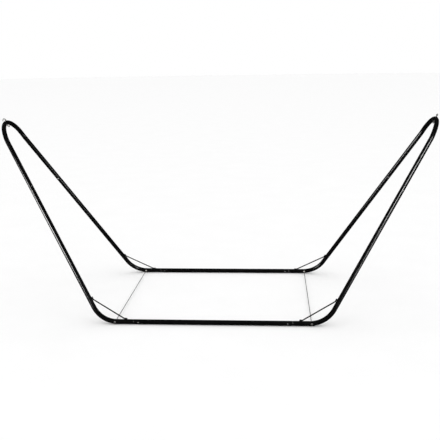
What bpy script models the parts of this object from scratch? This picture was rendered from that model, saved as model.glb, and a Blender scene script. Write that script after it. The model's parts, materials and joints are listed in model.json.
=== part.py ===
"""Collapsible hammock stand of round steel tube, as separate parts in one assembly.

Two floor rails join two end frames. Each end frame is two bent legs with a
hairpin bow across their tops. Every slip joint holds a sprung snap button, each
knee has a bent rod welded across it as a brace, a coated wire rope ties the two
knees of an end together across the floor, and a hook bolt stands on each bow.

Units are metres, +Z is up, +X runs along the rails and the front is at -Y. The
origin is on the floor, midway between the rails and midway along them.
"""

import math

import bmesh
import bpy
from mathutils import Matrix, Vector

# Overall shape of the frame.
RAIL_CORNER_HALF = 0.700   # centre of the stand to where a rail's and an arm's axes meet
TRACK_HALF = 0.575         # centre of the stand to a rail's axis
LEAN = math.radians(31.5)  # each end frame leans out from upright
SPLAY = math.radians(17.8) # each arm closes in on its end frame's middle line
CROWN_TIP = math.radians(5.0)  # the bow's bend stands more upright than the arms
ARM_LENGTH = 0.987         # corner to the arm's top end, where the bow's shoulder sits
BOW_RADIUS = 0.173         # bend at the crown of the bow, to the tube's axis
KNEE_RADIUS = 0.175        # bend at the knee, to the tube's axis
KNEE_FOOT = 0.206          # corner to the shoulder that butts against the rail's end

# Tube stock and slip joints.
TUBE_RADIUS = 0.015
TUBE_WALL = 0.0012
SLIP_FIT = 0.0005          # radial clearance of a reduced end in its socket
SWAGE_LENGTH = 0.060       # reduced end that slides into the next tube
SWAGE_CONE = 0.004         # length over which the tube is drawn down
TOUCH = 0.0003             # gap kept between pieces that touch

# Snap buttons: one in each slip joint.
BUTTON_SETBACK = 0.030     # shoulder to the button's centre
BUTTON_RADIUS = 0.0035
BUTTON_STAND = 0.0030      # button's top above the outer tube
BUTTON_FIT = 0.0004        # radial clearance of the button in its holes
CLIP_WIDTH = 0.008
CLIP_GAUGE = 0.0008
CLIP_LENGTH = 0.032
CLIP_TAIL = 0.007          # clip's ends past the button, away from its fold
CLIP_DROP = 0.0015         # bore wall to the clip's near leaf
CLIP_FAR_END = 0.0064      # tube's axis to the far leaf's free end

# Knee brace: a rod whose bent ends lie along the tube.
BRACE_FROM_CORNER = 0.145  # corner to where the brace leaves the tube
BRACE_FOOT = 0.020         # straight end that lies along the tube
BRACE_RADIUS = 0.0040
BRACE_BEND = 0.010         # bend at each end, to the rod's axis

# Wire rope across each end, at the knees.
ROPE_FROM_CORNER = 0.090
ROPE_RADIUS = 0.0020
ROPE_FIT = 0.0004
ROPE_END = 0.001           # rope's end past its crimped stop
STOP_RADIUS = 0.0044
STOP_LENGTH = 0.010
ROPE_WASHER_RADIUS = 0.0075
ROPE_WASHER_GAUGE = 0.0012
BUSH_RADIUS = 0.0036       # sleeve of the bush in a leg's inner wall
BUSH_REACH = 0.0020        # sleeve past the wall
BUSH_FLANGE_RADIUS = 0.0060
BUSH_FLANGE_GAUGE = 0.0014
BUSH_LIFT = 0.0004         # more room at the flange, where the knee starts to bend

# Hook bolt through the crown of each bow.
HOOK_RADIUS = 0.0040
HOOK_FIT = 0.0004
HOOK_COLLAR_RADIUS = 0.0065
HOOK_COLLAR = 0.0025
HOOK_NECK = 0.0060         # tube's skin to where the hook's curl starts
HOOK_CURL = 0.0100         # curl's radius, to the wire's axis
HOOK_TAIL = 0.0070         # threaded end past the nut
HOOK_TURN = {"left": 0.0, "right": math.radians(90.0)}
HOOK_WASHER_RADIUS = 0.0110
HOOK_WASHER_GAUGE = 0.0020
HOOK_NUT_FLATS = 0.013
HOOK_NUT_HEIGHT = 0.0080

# Fineness of the faceted solids.
TUBE_SIDES = 16
WIRE_SIDES = 10
ROPE_SIDES = 8
KNEE_STEPS = 8
BOW_STEPS = 14
CURL_STEPS = 8
WIRE_STEPS = 3
HOLE_SIDES = 12

SIDES = {"left": -1, "right": 1}
ROWS = {"front": -1, "rear": 1}

BORE_RADIUS = TUBE_RADIUS - TUBE_WALL
SWAGE_RADIUS = BORE_RADIUS - SLIP_FIT
SWAGE_BORE = SWAGE_RADIUS - TUBE_WALL


def clear_scene():
    """Empty the file of the objects it opened with."""
    for old in list(bpy.data.objects):
        bpy.data.objects.remove(old, do_unlink=True)


def new_collection(name):
    """Add a collection to the scene."""
    made = bpy.data.collections.new(name)
    bpy.context.scene.collection.children.link(made)
    return made


def finish(name, colour, roughness, metallic):
    """Make a plain surface finish."""
    made = bpy.data.materials.new(name)
    made.use_nodes = True
    shader = made.node_tree.nodes["Principled BSDF"]
    shader.inputs["Base Color"].default_value = (*colour, 1.0)
    shader.inputs["Roughness"].default_value = roughness
    shader.inputs["Metallic"].default_value = metallic
    return made


def place(mesh, name, collection, matrix, material=None):
    """Put a mesh into a collection as a named object."""
    made = bpy.data.objects.new(name, mesh)
    made.matrix_world = matrix
    collection.objects.link(made)
    if material is not None:
        mesh.materials.clear()
        mesh.materials.append(material)
    return made


def cutter(mesh, name, matrix):
    """Put a mesh among the cutters, where it is neither built nor rendered."""
    made = place(mesh, name, CUTTERS, matrix)
    made.hide_render = True
    made.display_type = "WIRE"
    return made


def cut(target, tool, operation="DIFFERENCE"):
    """Cut one object with another, or join the other to it."""
    step = target.modifiers.new(tool.name, "BOOLEAN")
    step.object = tool
    step.operation = operation
    step.solver = "EXACT"
    return step


def frame_at(origin, along, facing):
    """A placing matrix with +Z along one direction and +X as near as it can be to another."""
    z_axis = along.normalized()
    x_axis = (facing - z_axis * facing.dot(z_axis)).normalized()
    y_axis = z_axis.cross(x_axis)
    turned = Matrix((x_axis, y_axis, z_axis)).transposed()
    return Matrix.Translation(origin) @ turned.to_4x4()


def cylinder_mesh(name, radius, low, high, sides):
    """A cylinder about Z between two heights."""
    shape = bmesh.new()
    bmesh.ops.create_cone(
        shape, cap_ends=True, segments=sides, radius1=radius, radius2=radius, depth=high - low,
        matrix=Matrix.Translation((0.0, 0.0, (low + high) / 2.0)),
    )
    mesh = bpy.data.meshes.new(name)
    shape.to_mesh(mesh)
    shape.free()
    return mesh


def fillet(start, corner, end, radius, steps):
    """Points of the arc that rounds the corner between two straight runs."""
    back = (start - corner).normalized()
    ahead = (end - corner).normalized()
    half = back.angle(ahead) / 2.0
    centre = corner + (back + ahead).normalized() * (radius / math.sin(half))
    first = corner + back * (radius / math.tan(half)) - centre
    turn_axis = first.cross(back).normalized()
    sweep = math.pi - 2.0 * half
    return [
        centre + Matrix.Rotation(-sweep * i / steps, 3, turn_axis) @ first
        for i in range(steps + 1)
    ]


def sweep_mesh(name, stations, sides, capped):
    """A round bar or skin along stations, each a point and the radius there."""
    curve = bpy.data.curves.new(name, "CURVE")
    curve.dimensions = "3D"
    curve.twist_mode = "Z_UP"
    curve.bevel_depth = 1.0
    curve.bevel_resolution = (sides - 4) // 2
    curve.use_fill_caps = capped
    spline = curve.splines.new("POLY")
    spline.points.add(len(stations) - 1)
    for knot, (point, radius) in zip(spline.points, stations):
        knot.co = (*point, 1.0)
        knot.radius = radius
    swept = bpy.data.objects.new(name, curve)
    CUTTERS.objects.link(swept)
    depsgraph = bpy.context.evaluated_depsgraph_get()
    mesh = bpy.data.meshes.new_from_object(swept.evaluated_get(depsgraph))
    mesh.name = name
    bpy.data.objects.remove(swept, do_unlink=True)
    shape = bmesh.new()
    shape.from_mesh(mesh)
    bmesh.ops.remove_doubles(shape, verts=shape.verts, dist=0.00001)
    bmesh.ops.recalc_face_normals(shape, faces=shape.faces)
    shape.to_mesh(mesh)
    shape.free()
    return mesh


def smooth(part, degrees=30.0):
    """Shade a round piece smooth and keep its real edges sharp."""
    part.data.shade_smooth()
    part.data.set_sharp_from_angle(angle=math.radians(degrees))


def hollow_tube(name, stations, origin, material):
    """A tube of even wall along stations given relative to its origin."""
    mesh = sweep_mesh(name, stations, TUBE_SIDES, capped=False)
    tube = place(mesh, name, STAND, Matrix.Translation(origin), material)
    wall = tube.modifiers.new("wall", "SOLIDIFY")
    wall.thickness = TUBE_WALL
    wall.offset = -1.0
    wall.use_even_offset = True
    smooth(tube)
    return tube


def drill(target, name, radius, matrix, low, high):
    """Drill a round hole along the matrix's Z axis."""
    tool = cutter(cylinder_mesh(name, radius, low, high, HOLE_SIDES), name, matrix)
    return cut(target, tool)


class Corner:
    """Where one rail's axis meets one arm's axis, and the directions that leave it."""

    def __init__(self, row, side):
        self.row = row
        self.side = side
        self.tag = f"{row}_{side}"
        self.x_sign = SIDES[side]
        self.y_sign = ROWS[row]
        self.point = Vector((self.x_sign * RAIL_CORNER_HALF, self.y_sign * TRACK_HALF, TUBE_RADIUS))
        self.inward = Vector((-self.x_sign, 0.0, 0.0))
        self.up_arm = Vector((
            self.x_sign * math.sin(LEAN) * math.cos(SPLAY),
            -self.y_sign * math.sin(SPLAY),
            math.cos(LEAN) * math.cos(SPLAY),
        ))
        inner = Vector((0.0, -self.y_sign, 0.0))
        normal = self.inward.cross(self.up_arm).normalized()
        self.plane_normal = normal if normal.dot(inner) > 0.0 else -normal

    def on_rail(self, distance):
        """A point on the rail's axis."""
        return self.point + self.inward * distance

    def on_arm(self, distance):
        """A point on the arm's axis."""
        return self.point + self.up_arm * distance


class BowShape:
    """Middle plane and crown of one bow."""

    def __init__(self, side):
        self.x_sign = SIDES[side]
        tipped = LEAN - CROWN_TIP
        self.up = Vector((self.x_sign * math.sin(tipped), 0.0, math.cos(tipped)))
        self.outward = Vector((self.x_sign * math.cos(tipped), 0.0, -math.sin(tipped)))
        foot = Vector((self.x_sign * RAIL_CORNER_HALF, 0.0, TUBE_RADIUS))
        arms_up = Vector((self.x_sign * math.sin(LEAN), 0.0, math.cos(LEAN)))
        rise = TRACK_HALF / math.tan(SPLAY) - BOW_RADIUS * math.cos(SPLAY) / math.tan(SPLAY)
        springing = foot + arms_up * rise
        self.centre = springing - self.up * (BOW_RADIUS * math.sin(SPLAY))
        self.crown = self.centre + self.up * BOW_RADIUS


def front_facing(along):
    """The direction square to a tube that faces the front most nearly."""
    front = Vector((0.0, -1.0, 0.0))
    return (front - along * front.dot(along)).normalized()


def make_rail(row):
    """A straight floor rail, open at both ends."""
    half = RAIL_CORNER_HALF - KNEE_FOOT - TOUCH
    origin = Vector((0.0, ROWS[row] * TRACK_HALF, TUBE_RADIUS))
    ends = [Vector((-half, 0.0, 0.0)), Vector((half, 0.0, 0.0))]
    return hollow_tube(f"rail_{row}", [(p, TUBE_RADIUS) for p in ends], origin, BLACK)


def make_leg(corner):
    """A leg: reduced foot end, knee bend and straight arm in one tube."""
    foot = corner.inward
    arm = corner.up_arm
    bend = fillet(foot, Vector(), arm, KNEE_RADIUS, KNEE_STEPS)
    stations = [
        (foot * (KNEE_FOOT + SWAGE_LENGTH), SWAGE_RADIUS),
        (foot * KNEE_FOOT, SWAGE_RADIUS),
        (foot * (KNEE_FOOT - SWAGE_CONE), TUBE_RADIUS),
    ]
    stations += [(point, TUBE_RADIUS) for point in bend]
    stations.append((arm * ARM_LENGTH, TUBE_RADIUS))
    return hollow_tube(f"leg_{corner.tag}", stations, corner.point, BLACK)


def make_bow(side, corners):
    """A hairpin bow with a reduced end for each arm."""
    shape = BowShape(side)
    front, rear = corners
    shoulder = ARM_LENGTH + TOUCH
    stations = [
        (front.on_arm(shoulder - SWAGE_LENGTH), SWAGE_RADIUS),
        (front.on_arm(shoulder), SWAGE_RADIUS),
        (front.on_arm(shoulder + SWAGE_CONE), TUBE_RADIUS),
    ]
    half_turn = math.pi / 2.0 - SPLAY
    for i in range(BOW_STEPS + 1):
        angle = half_turn * (2.0 * i / BOW_STEPS - 1.0)
        spoke = shape.up * math.cos(angle) + Vector((0.0, 1.0, 0.0)) * math.sin(angle)
        stations.append((shape.centre + spoke * BOW_RADIUS, TUBE_RADIUS))
    stations += [
        (rear.on_arm(shoulder + SWAGE_CONE), TUBE_RADIUS),
        (rear.on_arm(shoulder), SWAGE_RADIUS),
        (rear.on_arm(shoulder - SWAGE_LENGTH), SWAGE_RADIUS),
    ]
    local = [(point - shape.crown, radius) for point, radius in stations]
    return hollow_tube(f"bow_{side}", local, shape.crown, BLACK)


def clip_mesh(name):
    """The sprung clip's folded strip, in the XZ plane with the button's axis on Z."""
    top = SWAGE_BORE - CLIP_DROP
    fold = CLIP_LENGTH - CLIP_TAIL
    outline = [
        (-CLIP_TAIL, top),
        (fold - 0.0030, top),
        (fold, top - 0.0014),
        (fold, top - 0.0024),
        (-CLIP_TAIL, -CLIP_FAR_END),
        (-CLIP_TAIL, -CLIP_FAR_END + CLIP_GAUGE * 1.1),
        (fold - 0.0016, top - 0.0021),
        (fold - 0.0016, top - 0.0017),
        (fold - 0.0034, top - CLIP_GAUGE),
        (-CLIP_TAIL, top - CLIP_GAUGE),
    ]
    curve = bpy.data.curves.new(name, "CURVE")
    curve.dimensions = "2D"
    curve.fill_mode = "BOTH"
    curve.extrude = CLIP_WIDTH / 2.0
    spline = curve.splines.new("POLY")
    spline.points.add(len(outline) - 1)
    for knot, (x, z) in zip(spline.points, outline):
        knot.co = (x, z, 0.0, 1.0)
    spline.use_cyclic_u = True
    return flat_mesh(name, curve, Matrix.Rotation(math.pi / 2.0, 4, "X"))


def flat_mesh(name, curve, matrix):
    """The closed mesh of an extruded flat outline, moved by a matrix."""
    flat = bpy.data.objects.new(name, curve)
    CUTTERS.objects.link(flat)
    depsgraph = bpy.context.evaluated_depsgraph_get()
    mesh = bpy.data.meshes.new_from_object(flat.evaluated_get(depsgraph))
    mesh.name = name
    bpy.data.objects.remove(flat, do_unlink=True)
    shape = bmesh.new()
    shape.from_mesh(mesh)
    bmesh.ops.remove_doubles(shape, verts=shape.verts, dist=0.00001)
    bmesh.ops.transform(shape, matrix=matrix, verts=shape.verts)
    bmesh.ops.recalc_face_normals(shape, faces=shape.faces)
    shape.to_mesh(mesh)
    shape.free()
    return mesh


def button_mesh(name):
    """The button: a short pin with a domed end, turned about Z."""
    low = SWAGE_BORE - CLIP_DROP - CLIP_GAUGE / 2.0
    top = TUBE_RADIUS + BUTTON_STAND
    dome = BUTTON_RADIUS * 0.35
    profile = [(BUTTON_RADIUS * math.sin(a), top - dome + dome * math.cos(a)) for a in
               (math.pi / 2.0 * i / 3 for i in range(4))]
    profile.append((BUTTON_RADIUS, low))
    profile.append((0.0, low))
    shape = bmesh.new()
    points = [shape.verts.new((x, 0.0, z)) for x, z in profile]
    for a, b in zip(points, points[1:]):
        shape.edges.new((a, b))
    mesh = bpy.data.meshes.new(name)
    shape.to_mesh(mesh)
    shape.free()
    return mesh


def make_snap(tag, centre, along, joined):
    """A snap button with its sprung clip, and the holes for it in both tubes."""
    facing = front_facing(along)
    matrix = frame_at(centre, facing, along)
    clip = place(clip_mesh(f"snap_{tag}"), f"snap_{tag}", STAND, matrix, ZINC)
    button = cutter(button_mesh(f"button_{tag}"), f"button_{tag}", matrix)
    turned = button.modifiers.new("turned", "SCREW")
    turned.steps = HOLE_SIDES
    turned.render_steps = HOLE_SIDES
    turned.use_merge_vertices = True
    turned.merge_threshold = 0.00001
    cut(clip, button, "UNION")
    smooth(clip)
    for tube in joined:
        drill(tube, f"hole_{tag}_{tube.name}", BUTTON_RADIUS + BUTTON_FIT, matrix,
              SWAGE_BORE / 2.0, TUBE_RADIUS * 1.5)
    return clip


def square_off(along, towards):
    """The direction square to one line that leans towards another."""
    return (towards - along * towards.dot(along)).normalized()


def make_brace(corner):
    """The rod across a knee, with both ends bent to lie along the tube."""
    rise = TUBE_RADIUS + TOUCH + BRACE_RADIUS
    low = corner.inward * BRACE_FROM_CORNER + square_off(corner.inward, corner.up_arm) * rise
    high = corner.up_arm * BRACE_FROM_CORNER + square_off(corner.up_arm, corner.inward) * rise
    low_end = low + corner.inward * BRACE_FOOT
    high_end = high + corner.up_arm * BRACE_FOOT
    line = [low_end]
    line += fillet(low_end, low, high, BRACE_BEND, WIRE_STEPS)
    line += fillet(low, high, high_end, BRACE_BEND, WIRE_STEPS)
    line.append(high_end)
    mesh = sweep_mesh(f"knee_brace_{corner.tag}", [(p, BRACE_RADIUS) for p in line], WIRE_SIDES, capped=True)
    brace = place(mesh, f"knee_brace_{corner.tag}", STAND, Matrix.Translation(corner.point), BLACK)
    smooth(brace)
    return brace


def ring_mesh(name, outer, inner, low, high, sides, hole_sides):
    """A flat ring about Z: a washer, a sleeve or a nut, as a turned or bored block."""
    shape = bmesh.new()
    rims = []
    for radius, count in ((outer, sides), (inner, hole_sides)):
        made = bmesh.ops.create_circle(shape, cap_ends=False, segments=count, radius=radius)
        rims += list({edge for vert in made["verts"] for edge in vert.link_edges})
    bmesh.ops.triangle_fill(shape, use_beauty=True, use_dissolve=False, edges=rims)
    bmesh.ops.translate(shape, vec=(0.0, 0.0, low), verts=shape.verts)
    grown = bmesh.ops.extrude_face_region(shape, geom=list(shape.faces))
    lifted = [item for item in grown["geom"] if isinstance(item, bmesh.types.BMVert)]
    bmesh.ops.translate(shape, vec=(0.0, 0.0, high - low), verts=lifted)
    bmesh.ops.recalc_face_normals(shape, faces=shape.faces)
    mesh = bpy.data.meshes.new(name)
    shape.to_mesh(mesh)
    shape.free()
    return mesh


def bush_mesh(name, seat):
    """A flanged bush about Z, its flange's back at one height and its sleeve above."""
    bore = ROPE_RADIUS + ROPE_FIT
    top = seat + BUSH_LIFT + TOUCH + TUBE_WALL + BUSH_REACH
    profile = [
        (bore, seat - BUSH_FLANGE_GAUGE),
        (BUSH_FLANGE_RADIUS, seat - BUSH_FLANGE_GAUGE),
        (BUSH_FLANGE_RADIUS, seat),
        (BUSH_RADIUS, seat),
        (BUSH_RADIUS, top),
        (bore, top),
    ]
    shape = bmesh.new()
    points = [shape.verts.new((x, 0.0, z)) for x, z in profile]
    rim = [shape.edges.new((a, b)) for a, b in zip(points, points[1:] + points[:1])]
    bmesh.ops.spin(shape, geom=points + rim, cent=(0.0, 0.0, 0.0), axis=(0.0, 0.0, 1.0), dvec=(0.0, 0.0, 0.0),
                   angle=math.tau, steps=HOLE_SIDES, use_merge=True)
    bmesh.ops.remove_doubles(shape, verts=shape.verts, dist=0.00001)
    bmesh.ops.recalc_face_normals(shape, faces=shape.faces)
    mesh = bpy.data.meshes.new(name)
    shape.to_mesh(mesh)
    shape.free()
    return mesh


def make_rope(side, legs):
    """The wire rope between an end's two knees: a bush, a washer and a crimped stop at each end."""
    x = SIDES[side] * (RAIL_CORNER_HALF - ROPE_FROM_CORNER)
    seat = TRACK_HALF + TUBE_RADIUS + TOUCH
    stop_at = seat + ROPE_WASHER_GAUGE + TOUCH
    end = stop_at + STOP_LENGTH + ROPE_END
    middle = Vector((x, 0.0, TUBE_RADIUS))
    stations = [(Vector((0.0, y, 0.0)), ROPE_RADIUS) for y in (-end, end)]
    mesh = sweep_mesh(f"cross_cable_{side}", stations, ROPE_SIDES, capped=True)
    rope = place(mesh, f"cross_cable_{side}", STAND, Matrix.Translation(middle), WIRE)
    smooth(rope)
    made = [rope]
    for row, leg in legs.items():
        out = Vector((0.0, ROWS[row], 0.0))
        matrix = frame_at(middle, out, Vector((1.0, 0.0, 0.0)))
        washer = ring_mesh(f"cable_washer_{row}_{side}", ROPE_WASHER_RADIUS, ROPE_RADIUS + ROPE_FIT,
                           seat, seat + ROPE_WASHER_GAUGE, WIRE_SIDES + 2, ROPE_SIDES)
        stop = ring_mesh(f"cable_stop_{row}_{side}", STOP_RADIUS, ROPE_RADIUS + ROPE_FIT,
                         stop_at, stop_at + STOP_LENGTH, WIRE_SIDES, ROPE_SIDES)
        bush = bush_mesh(f"cable_bush_{row}_{side}", TRACK_HALF - TUBE_RADIUS - TOUCH - BUSH_LIFT)
        for mesh, material in ((washer, ZINC), (stop, ZINC), (bush, NYLON)):
            ring = place(mesh, mesh.name, STAND, matrix, material)
            smooth(ring)
            made.append(ring)
        drill(leg, f"hole_cable_{row}_{side}", ROPE_RADIUS + ROPE_FIT, matrix,
              TRACK_HALF, TRACK_HALF + TUBE_RADIUS * 1.5)
        drill(leg, f"hole_bush_{row}_{side}", BUSH_RADIUS + TOUCH, matrix,
              TRACK_HALF - TUBE_RADIUS * 1.5, TRACK_HALF)
    return made


def make_hook(side, bow):
    """The hook bolt on a bow's crown, with its washer and nut inside the bend."""
    shape = BowShape(side)
    turn = Matrix.Rotation(HOOK_TURN[side], 4, "Z")
    matrix = frame_at(shape.crown, shape.up, shape.outward) @ turn
    skin = TUBE_RADIUS + TOUCH
    facet_turn = (math.pi / 2.0 - SPLAY) / BOW_STEPS
    washer_top = -skin - HOOK_WASHER_RADIUS * math.tan(facet_turn)
    washer_low = washer_top - HOOK_WASHER_GAUGE
    nut_low = washer_low - TOUCH - HOOK_NUT_HEIGHT
    neck = TUBE_RADIUS + HOOK_NECK
    stations = [
        (Vector((0.0, 0.0, nut_low - HOOK_TAIL)), HOOK_RADIUS),
        (Vector((0.0, 0.0, skin)), HOOK_RADIUS),
        (Vector((0.0, 0.0, skin + 0.0001)), HOOK_COLLAR_RADIUS),
        (Vector((0.0, 0.0, skin + HOOK_COLLAR)), HOOK_COLLAR_RADIUS),
        (Vector((0.0, 0.0, skin + HOOK_COLLAR + 0.0001)), HOOK_RADIUS),
    ]
    for i in range(CURL_STEPS + 1):
        angle = math.pi * i / CURL_STEPS
        point = Vector((HOOK_CURL * (1.0 - math.cos(angle)), 0.0, neck + HOOK_CURL * math.sin(angle)))
        stations.append((point, HOOK_RADIUS))
    mesh = sweep_mesh(f"hook_bolt_{side}", stations, WIRE_SIDES, capped=True)
    bolt = place(mesh, f"hook_bolt_{side}", STAND, matrix, ZINC)
    smooth(bolt)
    hole = HOOK_RADIUS + HOOK_FIT
    washer = place(ring_mesh(f"hook_washer_{side}", HOOK_WASHER_RADIUS, hole, washer_low, washer_top,
                             TUBE_SIDES, HOLE_SIDES),
                   f"hook_washer_{side}", STAND, matrix, ZINC)
    smooth(washer)
    nut = place(ring_mesh(f"hook_nut_{side}", HOOK_NUT_FLATS / math.sqrt(3.0), hole,
                          nut_low, nut_low + HOOK_NUT_HEIGHT, 6, HOLE_SIDES),
                f"hook_nut_{side}", STAND, matrix, ZINC)
    drill(bow, f"hole_hook_{side}", hole, matrix, -TUBE_RADIUS * 1.5, TUBE_RADIUS * 1.5)
    return washer, bolt, nut


def attach(children, parent):
    """Parent pieces to another piece where they stand."""
    bpy.context.view_layer.update()
    for child in children:
        placed = child.matrix_world.copy()
        child.parent = parent
        child.matrix_parent_inverse = parent.matrix_world.inverted()
        child.matrix_world = placed


def build_stand():
    """Build every piece and parent each to what carries it."""
    rails = {row: make_rail(row) for row in ROWS}
    attach([rails["rear"]], rails["front"])
    for side in SIDES:
        corners = {row: Corner(row, side) for row in ROWS}
        legs = {row: make_leg(corners[row]) for row in ROWS}
        bow = make_bow(side, (corners["front"], corners["rear"]))
        attach([bow], rails["front"])
        for row, corner in corners.items():
            leg = legs[row]
            rail_button = corner.on_rail(KNEE_FOOT + BUTTON_SETBACK)
            rail_snap = make_snap(f"rail_{corner.tag}", rail_button, -corner.inward, (rails[row], leg))
            bow_button = corner.on_arm(ARM_LENGTH - BUTTON_SETBACK)
            bow_snap = make_snap(f"bow_{corner.tag}", bow_button, corner.up_arm, (leg, bow))
            attach([leg], bow)
            attach([rail_snap, make_brace(corner)], leg)
            attach([bow_snap], bow)
        attach(make_rope(side, legs), bow)
        washer, bolt, nut = make_hook(side, bow)
        attach([washer, bolt], bow)
        attach([nut], bolt)


clear_scene()
STAND = new_collection("hammock_stand")
CUTTERS = new_collection("cutters")
BLACK = finish("black_paint", (0.012, 0.012, 0.013), 0.28, 0.0)
ZINC = finish("zinc_plate", (0.56, 0.56, 0.57), 0.35, 1.0)
WIRE = finish("coated_rope", (0.035, 0.035, 0.037), 0.35, 0.0)
NYLON = finish("nylon", (0.62, 0.62, 0.60), 0.45, 0.0)
build_stand()
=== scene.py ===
"""Finished look of a collapsible hammock stand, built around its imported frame.

Two floor rails join two leaning end frames of bent round tube. Every sub-assembly
is a class that builds its pieces with mesh operators, dresses them in its finishes
and sets them on the bodies that carry them. Lengths are in metres, +Z is up, +X
runs along the rails and the front is at -Y.
"""

import json
import logging
import math
from dataclasses import dataclass
from enum import Enum
from typing import Callable, Iterable

import bmesh
import bpy
import numpy as np
from mathutils import Matrix, Vector


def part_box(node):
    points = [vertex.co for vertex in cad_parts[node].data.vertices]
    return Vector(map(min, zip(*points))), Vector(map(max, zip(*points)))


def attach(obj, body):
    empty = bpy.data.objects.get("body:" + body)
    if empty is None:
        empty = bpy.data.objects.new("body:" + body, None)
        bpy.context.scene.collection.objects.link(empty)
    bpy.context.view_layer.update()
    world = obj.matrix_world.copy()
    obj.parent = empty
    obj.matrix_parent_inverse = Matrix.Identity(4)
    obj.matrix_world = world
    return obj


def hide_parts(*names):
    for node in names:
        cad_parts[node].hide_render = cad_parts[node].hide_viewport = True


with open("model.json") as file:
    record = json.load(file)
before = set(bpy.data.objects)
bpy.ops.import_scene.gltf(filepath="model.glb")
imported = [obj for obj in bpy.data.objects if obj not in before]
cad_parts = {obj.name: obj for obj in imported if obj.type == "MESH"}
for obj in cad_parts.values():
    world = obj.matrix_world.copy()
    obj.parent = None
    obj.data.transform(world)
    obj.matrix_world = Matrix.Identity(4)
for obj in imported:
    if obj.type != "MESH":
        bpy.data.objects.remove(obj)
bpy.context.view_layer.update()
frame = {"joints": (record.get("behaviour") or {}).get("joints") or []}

LOG = logging.getLogger("hammock_stand")
MERGE = 0.00001
HOLD = 0.0012
UP = Vector((0.0, 0.0, 1.0))
ACROSS = Vector((0.0, 1.0, 0.0))
FRONT = Vector((0.0, -1.0, 0.0))
LAY = "lay"
RIM = "rim"
MIX_FIRST, MIX_SECOND, MIX_RESULT = 6, 7, 2


class Side(Enum):
    """An end of the stand, with the sign of its place along X."""

    LEFT = -1
    RIGHT = 1

    @property
    def word(self) -> str:
        """The side's word in a node's name."""
        return self.name.lower()


class Row(Enum):
    """A long side of the stand, with the sign of its place along Y."""

    FRONT = -1
    REAR = 1

    @property
    def word(self) -> str:
        """The row's word in a node's name."""
        return self.name.lower()


class Level(Enum):
    """Which limb of a knee a brace's foot is welded to."""

    LOW = "low"
    HIGH = "high"


# ---------------------------------------------------------------- plan of the frame


def square_off(along: Vector, towards: Vector) -> Vector:
    """Find the direction square to one line that leans towards another.

    Args:
        along: Direction of the line.
        towards: Direction to lean towards.

    Returns:
        A unit direction square to the line.
    """
    return (towards - along * towards.dot(along)).normalized()


def placing(origin: Vector, along: Vector, facing: Vector) -> Matrix:
    """Make a matrix with +Z along one direction and +X as near as it can be to another.

    Args:
        origin: Where the matrix puts the origin.
        along: Direction that +Z takes.
        facing: Direction that +X leans towards.

    Returns:
        The placing matrix.
    """
    z_axis = along.normalized()
    x_axis = square_off(z_axis, facing)
    axes = Matrix((x_axis, z_axis.cross(x_axis), z_axis)).transposed()
    return Matrix.Translation(origin) @ axes.to_4x4()


def any_square(along: Vector) -> Vector:
    """Pick a direction square to a line: straight up where the line allows it."""
    hint = UP if abs(along.normalized().z) < 0.95 else ACROSS
    return square_off(along.normalized(), hint)


def front_facing(along: Vector) -> Vector:
    """The direction square to a tube that faces the front most nearly."""
    return square_off(along, FRONT)


@dataclass(frozen=True)
class Corner:
    """Where a rail's axis meets an arm's axis, and the directions that leave it."""

    row: Row
    side: Side
    point: Vector
    up_arm: Vector

    @property
    def tag(self) -> str:
        """The corner's words in a node's name."""
        return f"{self.row.word}_{self.side.word}"

    @property
    def inward(self) -> Vector:
        """Direction along the rail, towards the middle of the stand."""
        return Vector((-float(self.side.value), 0.0, 0.0))

    def on_rail(self, distance: float) -> Vector:
        """A point on the rail's axis."""
        return self.point + self.inward * distance

    def on_arm(self, distance: float) -> Vector:
        """A point on the arm's axis."""
        return self.point + self.up_arm * distance


@dataclass(frozen=True)
class Crown:
    """The middle of a bow's bend."""

    side: Side
    point: Vector
    up: Vector

    @property
    def outward(self) -> Vector:
        """Direction square to the bow's middle line, away from the stand."""
        return Vector((self.up.z * self.side.value, 0.0, -abs(self.up.x)))


@dataclass(frozen=True)
class TubeStock:
    """The tube that the whole frame is bent from."""

    radius: float
    wall: float = 0.0012
    slip_fit: float = 0.0005
    sides: int = 48

    @property
    def bore(self) -> float:
        """Inner radius of the full tube."""
        return self.radius - self.wall

    @property
    def reduced(self) -> float:
        """Outer radius of an end that slides into the next tube."""
        return self.bore - self.slip_fit

    @property
    def reduced_bore(self) -> float:
        """Inner radius of a reduced end."""
        return self.reduced - self.wall

    @property
    def mid_cone(self) -> float:
        """Outer radius half way along the cone to a reduced end."""
        return self.reduced * 0.45 + self.radius * 0.55

    @property
    def drill_near(self) -> float:
        """Distance from the axis at which a drill for one wall starts."""
        return self.reduced_bore / 2.0

    @property
    def drill_far(self) -> float:
        """Distance from the axis at which a drill is clear of the tube."""
        return self.radius * 1.5


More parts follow.
